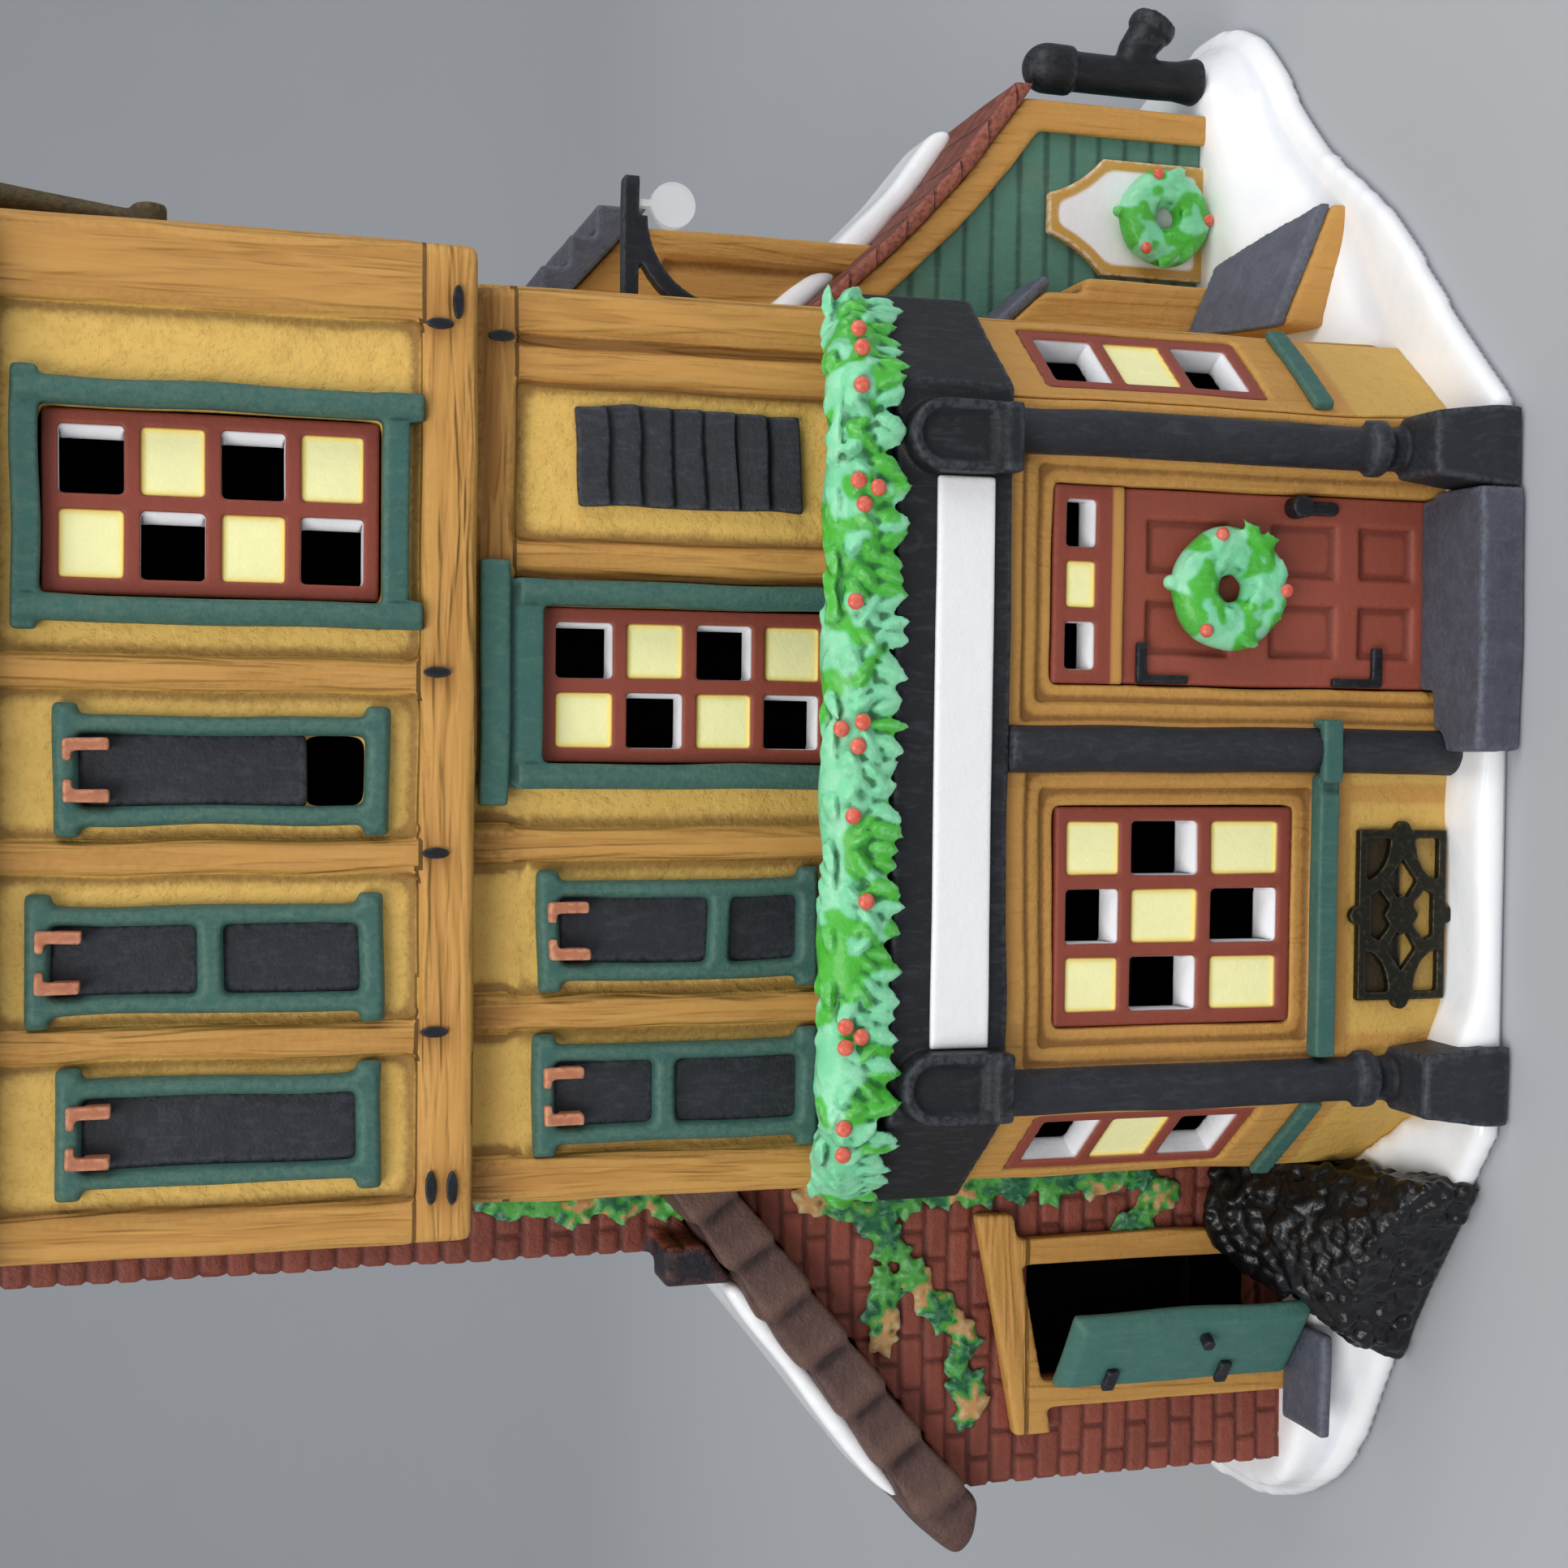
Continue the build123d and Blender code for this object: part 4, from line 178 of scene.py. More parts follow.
class HouseStage(bpy.types.PropertyGroup):
    """Camera, floor and lights."""
    lens: number("Lens", "Focal length on a 36 mm frame", 49.19, min=10, max=200, unit="CAMERA")
    pitch: number("Pitch", "Camera's dip below the horizon", math.radians(16.2), subtype="ANGLE")
    yaw: number("Yaw", "Camera's turn to the right", math.radians(-1.5), subtype="ANGLE")
    roll: number("Roll", "Camera's roll before the quarter turn", math.radians(0.3), subtype="ANGLE")
    place: bpy.props.FloatVectorProperty(name="Place", description="Camera's place", size=3, subtype="TRANSLATION",
                                         unit="LENGTH", default=(0.0020, -0.2488, 0.1380))
    power: number("Key light", "Power of the key light in watts", 4.5, min=0)
    sky: number("Fill", "Strength of the even fill light", 0.4, min=0)
    floor: paint_property("Floor", 170, 173, 178)


GROUPS = {"house_paint": HousePaint, "house_casting": HouseCasting, "house_stage": HouseStage}


def paints():
    """The paints' settings."""
    return bpy.context.scene.house_paint


def casting():
    """The castings' settings."""
    return bpy.context.scene.house_casting


class Wire:
    """A socket of a shader's tree that takes part in sums."""

    def __init__(self, tree, socket):
        self.tree = tree
        self.socket = socket

    def into(self, slot):
        self.tree.links.new(self.socket, slot)

    def other(self, output):
        """Another output of the same node."""
        return Wire(self.tree, self.socket.node.outputs[output])

    def sum(self, operation, first, second):
        node = self.tree.nodes.new("ShaderNodeMath")
        node.operation = operation
        for slot, value in zip(node.inputs, (first, second)):
            plug(slot, value)
        return Wire(self.tree, node.outputs[0])

    def __add__(self, other):
        return self.sum("ADD", self, other)

    def __radd__(self, other):
        return self.sum("ADD", other, self)

    def __sub__(self, other):
        return self.sum("SUBTRACT", self, other)

    def __rsub__(self, other):
        return self.sum("SUBTRACT", other, self)

    def __mul__(self, other):
        return self.sum("MULTIPLY", self, other)


def plug(slot, value):
    """Link a wire to a socket, or set the socket's own value."""
    if isinstance(value, Wire):
        value.into(slot)
    elif slot.type == "RGBA" and len(value) == 3:
        slot.default_value = (*value, 1.0)
    else:
        slot.default_value = value


class Shader:
    """A material with one principled shader, and the nodes that feed it."""

    def __init__(self, name):
        self.material = bpy.data.materials.new(name)
        self.material.use_nodes = True
        self.tree = self.material.node_tree
        self.tree.nodes.clear()
        output = self.tree.nodes.new("ShaderNodeOutputMaterial")
        self.surface = self.tree.nodes.new("ShaderNodeBsdfPrincipled")
        self.tree.links.new(self.surface.outputs[0], output.inputs[0])
        here = self.node("ShaderNodeTexCoord", {}, {}, "Object")
        self.place = self.vector("MULTIPLY", here, (1 / MM,) * 3)

    def node(self, kind, settings, inputs, output=0):
        """A new node: its settings first, then its inputs; gives back one output."""
        node = self.tree.nodes.new(kind)
        for key, value in settings.items():
            setattr(node, key, value)
        for key, value in inputs.items():
            plug(node.inputs[key], value)
        return Wire(self.tree, node.outputs[output])

    def vector(self, operation, first, second):
        return self.node("ShaderNodeVectorMath", {"operation": operation}, {0: first, 1: second})

    def mix(self, first, second, factor, how="MIX"):
        settings = {"data_type": "RGBA", "blend_type": how, "clamp_factor": True}
        return self.node("ShaderNodeMix", settings, {0: factor, 6: first, 7: second}, 2)

    def noise(self, scale, detail=3.0, stretch=(1, 1, 1), twist=0.0, where=None):
        """Cloudy noise, in features per millimetre, drawn out along an axis where its stretch is small."""
        where = self.vector("MULTIPLY", where or self.place, stretch)
        inputs = {"Vector": where, "Scale": scale, "Detail": detail, "Roughness": 0.55, "Distortion": twist}
        return self.node("ShaderNodeTexNoise", {}, inputs)

    def steps(self, value, low, high):
        """A smooth step from 0 at low to 1 at high."""
        inputs = {"Value": value, "From Min": low, "From Max": high, "To Min": 0.0, "To Max": 1.0}
        return self.node("ShaderNodeMapRange", {"interpolation_type": "SMOOTHSTEP", "clamp": True}, inputs)

    def read(self, name, output="Fac"):
        """A value that comes with each point of the piece."""
        return self.node("ShaderNodeAttribute", {"attribute_name": name}, {}, output)

    def bump(self, height, distance):
        """Fine relief, at most so many millimetres high."""
        inputs = {"Height": height, "Distance": distance * MM, "Strength": 1.0}
        self.put("Normal", self.node("ShaderNodeBump", {}, inputs))

    def put(self, name, value):
        plug(self.surface.inputs[name], value)


def antique(shader, colour, wash, light, wash_share, light_share):
    """Dark wash in the hollows and a dry-brushed light on the edges."""
    cavity = shader.read("cavity")
    worn = shader.noise(1.6, 4.0)
    hollow = shader.steps(cavity + (worn - 0.5) * 0.5, 0.05, 0.75)
    colour = shader.mix(colour, wash, hollow * wash_share)
    proud = shader.steps(0.0 - cavity, 0.15, 0.8) * shader.steps(worn, 0.35, 0.6)
    return shader.mix(colour, light, proud * light_share)


def painted(name, wash, light, rough, mottle, relief, coat=0.0, wash_share=0.85, light_share=0.35):
    """Brushed ceramic paint whose colour comes with the piece."""
    shader = Shader(name)
    colour = shader.read("paint", "Color")
    blotch = shader.steps(shader.noise(0.42, 4.0), 0.38, 0.68)
    colour = shader.mix(colour, shader.mix(colour, wash, 0.45), blotch * mottle)
    strokes = shader.steps(shader.noise(1.1, 3.0, (1, 1, 0.3), 1.0), 0.48, 0.7)
    colour = shader.mix(colour, shader.mix(colour, light, 0.4), strokes * mottle)
    shader.put("Base Color", antique(shader, colour, wash, light, wash_share, light_share))
    fine = shader.noise(3.2, 4.0)
    shader.put("Roughness", rough - 0.08 + fine * 0.18)
    shader.put("Specular IOR Level", 0.3)
    shader.put("Coat Weight", coat)
    shader.bump(fine + shader.noise(0.7, 2.0) * 2.0, relief)


def timbered(name):
    """Carved timber and stucco: the grain follows each member, and the stucco darkens towards the timber."""
    paint = paints()
    shader = Shader(name)
    colour = shader.read("paint", "Color")
    timber = shader.read("timber")
    lay = shader.read("lay")
    wash = shader.read("wash")
    upright = shader.vector("MULTIPLY", shader.place, (1.0, 1.0, 0.09))
    lying = shader.vector("MULTIPLY", shader.place, (0.09, 0.4, 1.0))
    along = shader.node("ShaderNodeMix", {"data_type": "VECTOR"}, {0: lay, 4: upright, 5: lying}, 1)
    wide = shader.noise(0.36, 1.0, twist=1.5, where=along)
    thin = shader.noise(1.1, 1.0, twist=0.5, where=along)
    grain = shader.steps(wide * 0.75 + thin * 0.25, 0.36, 0.6)
    colour = shader.mix(colour, paint.timber_dark, (1.0 - grain) * timber * 0.4)
    colour = shader.mix(colour, paint.timber_light, shader.steps(thin, 0.5, 0.7) * timber * 0.3)
    plaster = 1.0 - timber
    unlit = shader.read("unlit")
    blotch = shader.steps(shader.noise(0.5, 4.0), 0.42, 0.7)
    brushed = shader.steps(shader.noise(0.9, 3.0, (1, 1, 0.45)), 0.45, 0.7)
    pits = shader.steps(shader.noise(2.2, 3.0), 0.54, 0.7)
    colour = shader.mix(colour, paint.stucco_dark, (blotch * 0.22 + brushed * 0.2 + pits * 0.14) * plaster)
    colour = shader.mix(colour, paint.stucco_dark, shader.steps(wash, 0.1, 0.75) * plaster * 0.5)
    colour = antique(shader, colour, tone(104, 64, 26), tone(208, 162, 90), 0.7, 0.3)
    # Painted shade: where the piece's unlit share is high its colour turns to the dark inside paint
    shader.put("Base Color", shader.mix(colour, paint.inside, unlit))
    shader.put("Roughness", 0.5 + thin * 0.16)
    shader.put("Specular IOR Level", 0.3)
    shader.bump((grain + thin * 0.6) * timber + (blotch * 0.3 - pits * 0.12) * plaster, 0.32)


def tiled(name, colour, edge, width, row, axis):
    """Roof tiles in lapped rows that fall along an axis."""
    shader = Shader(name)
    across = shader.node("ShaderNodeSeparateXYZ", {}, {0: shader.place}, "Y" if axis == "X" else "X")
    wander = (shader.noise(0.3, 2.0) - 0.5) * 0.8
    spot = shader.node("ShaderNodeCombineXYZ", {}, {0: across + wander, 1: across.other("Z") + wander})
    inputs = {"Vector": spot, "Scale": 1.0, "Mortar Size": 0.22, "Mortar Smooth": 0.8, "Brick Width": width,
              "Row Height": row, "Color1": colour, "Color2": tuple(v * 0.75 for v in colour),
              "Mortar": tuple(v * 0.35 for v in colour)}
    body = shader.node("ShaderNodeTexBrick", {"offset": 0.5}, inputs)
    joint = body.other("Fac")
    body = shader.mix(body, edge, shader.steps(shader.noise(0.7, 4.0), 0.5, 0.72) * 0.5)
    shader.put("Base Color", antique(shader, body, tuple(v * 0.3 for v in colour), edge, 0.8, 0.6))
    shader.put("Roughness", 0.52 + shader.noise(2.0, 3.0) * 0.2)
    shader.put("Specular IOR Level", 0.3)
    shader.bump(joint * -1.0 + shader.noise(1.8, 4.0) * 0.5, 0.35)


def glazed(name, shade, rough, relief, share, colour=None):
    """Glossy glaze with a faint pooling of its shade; its colour comes with the piece unless one is given."""
    shader = Shader(name)
    colour = colour or shader.read("paint", "Color")
    pool = shader.steps(shader.noise(0.12, 4.0), 0.4, 0.75)
    body = shader.mix(colour, shade, pool * share, "MULTIPLY")
    body = shader.mix(body, shade, shader.steps(shader.read("cavity"), 0.1, 0.9) * 0.45, "MULTIPLY")
    shader.put("Base Color", body)
    shader.put("Roughness", rough + shader.noise(1.2, 3.0) * 0.12)
    shader.put("Coat Weight", 0.4)
    shader.put("Coat Roughness", 0.08)
    shader.bump(shader.noise(0.22, 3.0) * 3.0 + shader.noise(1.3, 3.0) * 0.4, relief)


def metal(name, colour, light, rough, metallic):
    """Blackened casting, rubbed along its edges."""
    shader = Shader(name)
    body = shader.mix(colour, light, shader.steps(shader.noise(1.4, 4.0), 0.5, 0.75) * 0.35)
    shader.put("Base Color", antique(shader, body, tuple(v * 0.3 for v in colour), light, 0.6, 0.5))
    shader.put("Metallic", metallic)
    shader.put("Roughness", rough - 0.08 + shader.noise(2.6, 3.0) * 0.2)
    shader.bump(shader.noise(2.8, 4.0), 0.08)


def clear(name, colour, rough, tint_share):
    """Clear plastic or glass with faint flow marks."""
    shader = Shader(name)
    flow = shader.noise(0.6, 3.0, twist=1.0)
    shader.put("Base Color", shader.mix(colour, tuple(v * 0.86 for v in colour), flow * tint_share))
    shader.put("Roughness", rough + flow * 0.05)
    shader.put("Transmission Weight", 1.0)
    shader.put("IOR", 1.46)
    shader.bump(flow, 0.04)


def chipped(name, colour, light):
    """Glossy lumps with paler chips."""
    shader = Shader(name)
    chip = shader.noise(0.9, 4.0)
    shader.put("Base Color", shader.mix(colour, light, shader.steps(chip, 0.5, 0.75) * 0.4))
    shader.put("Roughness", 0.22 + chip * 0.2)
    shader.put("Specular IOR Level", 0.4)
    shader.bump(shader.noise(1.2, 2.0), 0.15)


def field(points, period, seed):
    """Smooth random field between -1 and 1 at points in millimetres: each cell's corners get a scrambled number."""
    place = points / period + seed * 17.31
    cell = np.floor(place).astype(np.int64)
    part = place - cell
    part = part * part * (3 - 2 * part)
    total = np.zeros(len(points))
    for corner in range(8):
        bits = np.array([corner & 1, corner >> 1 & 1, corner >> 2 & 1])
        key = cell + bits
        mixed = (key[:, 0] * 73856093) ^ (key[:, 1] * 19349663) ^ (key[:, 2] * 83492791) ^ (seed * 40503 + 977)
        mixed = (mixed * 1103515245 + 12345) & 0x7FFFFFFF
        mixed = ((mixed ^ (mixed >> 13)) * 69069 + 1) & 0xFFFFFF
        weight = np.prod(np.where(bits == 1, part, 1 - part), axis=1)
        total += weight * (mixed / 0x7FFFFF - 1)
    return total


def ramp(value, low, high):
    """Smooth step of an array from 0 at low to 1 at high."""
    share = np.clip((value - low) / (high - low), 0, 1)
    return share * share * (3 - 2 * share)


def blend(first, second, share):
    """Mix of two colours or colour arrays by an array of shares."""
    first = np.broadcast_to(np.asarray(first, float), (len(share), 3))
    return first + (np.asarray(second, float) - first) * share[:, None]


class Skin:
    """A casting's skin in millimetres: it is softened, painted and turned into a piece."""

    def __init__(self, mesh):
        self.mesh = mesh
        count = len(mesh.vertices)
        flat = np.empty(count * 3)
        mesh.vertices.foreach_get("co", flat)
        self.points = flat.reshape(-1, 3) / MM
        ends = np.empty(len(mesh.edges) * 2, np.int64)
        mesh.edges.foreach_get("vertices", ends)
        self.ends = ends.reshape(-1, 2)
        self.near = np.maximum(np.bincount(ends, minlength=count), 1)
        self.values = {}

    def mean(self, values):
        """Mean of each point's neighbours."""
        count = len(self.points)
        first, second = self.ends.T
        columns = values.reshape(count, -1)
        out = np.empty_like(columns)
        for index in range(columns.shape[1]):
            column = columns[:, index]
            out[:, index] = np.bincount(first, column[second], count) + np.bincount(second, column[first], count)
        return (out / self.near[:, None]).reshape(values.shape)

    def soften(self, passes, melt=0):
        """Smooth the voxels' steps, then round the edges."""
        for _ in range(passes):
            self.points = self.points + 0.5 * (self.mean(self.points) - self.points)
            self.points = self.points - 0.45 * (self.mean(self.points) - self.points)
        for _ in range(melt):
            self.points = self.points + 0.5 * (self.mean(self.points) - self.points)

    def wobble(self, amount, period, seed):
        """Push the points about by a smooth random field on each axis."""
        for axis in range(3):
            self.points[:, axis] += amount * field(self.points, period, seed + axis)

    def normals(self):
        """Normals of the skin as it stands."""
        self.mesh.vertices.foreach_set("co", (self.points * MM).ravel())
        self.mesh.update()
        flat = np.empty(len(self.points) * 3)
        self.mesh.vertices.foreach_get("normal", flat)
        return flat.reshape(-1, 3)

    def hollows(self):
        """How far each point lies in a hollow, above 0, or on an edge, below 0."""
        normal = self.normals()
        smooth = self.points
        depth = np.zeros(len(self.points))
        full_depth = {6: 0.10, 22: 0.3}  # millimetres of a full hollow, after so many passes
        for count in range(1, max(full_depth) + 1):
            smooth = smooth + 0.5 * (self.mean(smooth) - smooth)
            if count in full_depth:
                depth += np.einsum("ij,ij->i", smooth - self.points, normal) / full_depth[count]
        return np.clip(depth * 0.7, -1, 1)

    def blur(self, values, passes):
        for _ in range(passes):
            values = self.mean(values)
        return values

    def write(self, paint, calm=0.0, **values):
        """Store the paint, one for all points or one for each, and other values; calm is the share of wash left off."""
        self.normals()
        colour = self.mesh.attributes.new("paint", "FLOAT_COLOR", "POINT")
        rgba = np.ones((len(self.points), 4), np.float32)
        rgba[:, :3] = np.asarray(paint, float)
        colour.data.foreach_set("color", rgba.ravel())
        values["cavity"] = np.clip(self.hollows() * (1 - calm), -1, 1)
        for name, numbers in values.items():
            attribute = self.mesh.attributes.new(name, "FLOAT", "POINT")
            attribute.data.foreach_set("value", np.asarray(numbers, np.float32))
        self.mesh.shade_smooth()


def node_mesh(node):
    """Copy of a CAD node's mesh with its seams welded."""
    form = bmesh.new()
    form.from_mesh(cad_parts[node].data)
    bmesh.ops.remove_doubles(form, verts=form.verts, dist=1e-6)
    return form


def islands(form):
    """The separate solids of a form, each a list of its vertices."""
    seen = set()
    for start in form.verts:
        if start not in seen:
            seen.add(start)
            group = [start]
            for vert in group:
                for edge in vert.link_edges:
                    other = edge.other_vert(vert)
                    if other not in seen:
                        seen.add(other)
                        group.append(other)
            yield group


def middle_of(group):
    """Middle of a group of vertices."""
    return sum((vert.co for vert in group), Vector()) / len(group)


def shorten_hooks(form):
    """Hinge hooks with shorter arms, a little below the head of the shutter and proud of its frame."""
    stem, cut, proud, drop, squat = 1.7 * MM, 0.55, 1.5, 0.8 * MM, 0.7
    for group in islands(form):
        top, back = max(vert.co.z for vert in group), max(vert.co.y for vert in group)
        foot = min(group, key=lambda vert: vert.co.z).co.x
        ends = [pick(vert.co.x for vert in group) for pick in (min, max)]
        outer = min(ends, key=lambda end: abs(end - foot))
        for vert in group:
            off = vert.co.x - outer
            arm = max(0.0, abs(off) - stem)
            vert.co.x -= math.copysign(cut * arm, off)
            vert.co.y = back + (vert.co.y - back) * proud
            vert.co.z = top - drop - (top - vert.co.z) * squat


def slim_pegs(form):
    """Pegs drawn out into slim lozenges."""
    for group in islands(form):
        middle = middle_of(group)
        spans = [max(vert.co[axis] for vert in group) - min(vert.co[axis] for vert in group) for axis in (0, 2)]
        across, up = (1.3, 0.75) if spans[0] > spans[1] else (0.75, 1.05)
        for vert in group:
            vert.co.x = middle.x + (vert.co.x - middle.x) * across
            vert.co.z = middle.z + (vert.co.z - middle.z) * up


def peg_places():
    """Middles of the pegs on the fronts in millimetres."""
    form = node_mesh("iron_pegs")
    places = [middle_of(group) / MM for group in islands(form)]
    form.free()
    return places


def add_box(form, low, high):
    """A block between two corners in millimetres."""
    made = bmesh.ops.create_cube(form, size=1.0)
    size = [(b - a) * MM for a, b in zip(low, high)]
    middle = [(a + b) / 2 * MM for a, b in zip(low, high)]
    bmesh.ops.scale(form, vec=size, verts=made["verts"])
    bmesh.ops.translate(form, vec=middle, verts=made["verts"])


def skinned(form, voxel):
    """One closed skin of voxels over a form, as a Skin."""
    mesh = bpy.data.meshes.new("form")
    form.to_mesh(mesh)
    form.free()
    carrier = bpy.data.objects.new("carrier", mesh)
    bpy.context.collection.objects.link(carrier)
    modifier = carrier.modifiers.new("skin", "REMESH")
    modifier.mode = "VOXEL"
    modifier.voxel_size = voxel * MM * 1.0
    graph = bpy.context.evaluated_depsgraph_get()
    skin = bpy.data.meshes.new_from_object(carrier.evaluated_get(graph))
    bpy.data.objects.remove(carrier)
    bpy.data.meshes.remove(mesh)
    if not skin.vertices:
        raise RuntimeError("a casting's skin is empty")
    return Skin(skin)


def cast(node, voxel, passes=None, boxes=(), wobble_share=1.0, melt=0, shape=None):
    """Skin of a CAD node as a hand-finished casting, reshaped first where asked, with extra blocks luted on."""
    form = node_mesh(node)
    if shape:
        shape(form)
    for low, high in boxes:
        add_box(form, low, high)
    skin = skinned(form, voxel)
    skin.soften(casting().passes if passes is None else passes, melt)
    if wobble_share:
        skin.wobble(casting().wobble * wobble_share, WOBBLE_PERIOD, casting().seed)
    return skin


def place(name, mesh, material, slot, nodes):
    """Link a mesh as a piece that rides on the house and stands for CAD nodes."""
    thing = bpy.data.objects.new(name, mesh)
    bpy.context.collection.objects.link(thing)
    mesh.name = name
    mesh.materials.clear()
    mesh.materials.append(bpy.data.materials[material])
    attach(thing, "house")
    if nodes:
        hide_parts(*nodes)


def finish(skin, node, colour, material, slot, calm=0.0, **values):
    """Paint the skin of a CAD node and put it in the node's place."""
    skin.write(colour, calm, **values)
    place(f"{node}_cast", skin.mesh, material, slot, (node,))


def plain_cast(node, voxel, colour, material, slot, passes, wobble_share=1.0, melt=0, shape=None, swell=0.0,
               calm=0.0):
    """A casting in one paint, swollen a little where it has to meet its neighbours."""
    skin = cast(node, voxel, passes, (), wobble_share, melt, shape)
    if swell:
        skin.points += skin.normals() * (swell, 0, swell)
    finish(skin, node, colour, material, slot, calm)


def between(values, low, high, soft):
    """Share of each value that lies from low to high, with soft ends outside them."""
    return ramp(values, low - soft, low) * (1 - ramp(values, high, high + soft))


def within(points, low, high, soft=0.4):
    """Share of each point that lies between two corners in millimetres."""
    share = np.ones(len(points))
    for axis in range(3):
        share *= between(points[:, axis], low[axis], high[axis], soft)
    return share


def box_mm(node):
    """A CAD node's corners in millimetres."""
    low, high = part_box(node)
    return np.array(low) / MM, np.array(high) / MM


def framed(node, voxel, axis, sign, face, rails, boxes=(), relief=1.2, solid=(), stains=(), jetty_shade=None, melt=None,
           open_heads=()):
    """A timber-framed wall: raised members are timber, the rest stucco, and its back takes painted shade.

    Solid strips are timber all over, stains run round the pegs, and painted shade darkens the head under the jetty.
    Between the ends of an open head the stucco runs up to the top with no rail.
    """
    paint = paints()
    skin = cast(node, voxel, boxes=boxes, melt=casting().melt if melt is None else melt)
    normal = skin.normals()
    out = sign * skin.points[:, axis]
    for low, high in open_heads:
        head = between(skin.points[:, 0], low, high, PAINT_EDGE)
        head = head * ramp(skin.points[:, 2], rails[0][0] - 1.6, rails[0][0] - 1.0)
        out = out - head * np.maximum(out - (face - relief), 0)
    skin.points[:, axis] = sign * out
    timber = ramp(out, face - 0.75 * relief, face - 0.3 * relief)
    for low, high in solid:
        timber = np.maximum(timber, between(skin.points[:, 0], low, high, PAINT_EDGE))
    # Painted shade: the wall's back, facing into the rooms, is marked to take the dark inside paint
    inner = ramp(face - out, relief + 1.0, relief + 1.6) * ramp(-sign * normal[:, axis], 0.2, 0.6)
    level = skin.points[:, 2]
    lay = np.zeros(len(level))
    for low, high in rails:
        lay = np.maximum(lay, ((level > low) & (level < high)).astype(float))
    if open_heads:
        lay[skin.points[:, 0] < open_heads[-1][1]] = 0
    colour = blend(paint.stucco, paint.timber, timber)
    for spot in stains:
        gap = np.hypot(skin.points[:, 0] - spot.x, skin.points[:, 2] - spot.z)
        colour = blend(colour, paint.timber_dark, 0.7 * np.exp(-(gap / 2.4) ** 2))
    # Painted shade under the jetty: the head darkens towards the timber in the shade, less on the stucco
    if jetty_shade:
        colour = blend(colour, paint.timber_shade, 0.8 * ramp(level, *jetty_shade) * (0.3 + 0.7 * timber))
    wash = skin.blur(timber, 30) * (1 - timber)
    finish(skin, node, colour, "timbered", "timber", timber=timber, lay=lay, wash=wash, unlit=inner)


def wooden(node, voxel, lying=None, grain=0.5):
    """A carved timber piece whose grain runs upright, or level where a function of its points says that it lies."""
    skin = cast(node, voxel, melt=casting().melt)
    count = len(skin.points)
    lay = lying(skin.points) if lying else np.zeros(count)
    finish(skin, node, paints().timber, "timbered", "timber", timber=np.full(count, grain), lay=lay,
           wash=np.zeros(count))


def bricks(skin):
    """Courses of rounded bricks pressed into a skin: gives back the depth of the joints and each brick's shade."""
    width, course, rounding = 6.0, 2.85, 0.6
    x, y, z = skin.points.T
    sway = 0.35 * field(skin.points, 7.0, 21)
    level = (z + 0.6 * sway) / course
    row = np.floor(level)
    along = (x + y + sway) / width + 0.5 * (row % 2)
    column = np.floor(along)
    side = (0.5 - np.abs(along - column - 0.5)) * width
    bed = (0.5 - np.abs(level - row - 0.5)) * course
    edge = rounding - np.hypot(np.maximum(rounding - side, 0), np.maximum(rounding - bed, 0))
    shade = field(np.stack((column * 3.1, row * 2.7, np.zeros(len(x))), axis=1), 1.0, 23)
    return 1 - ramp(edge, 0.08, 0.5), shade


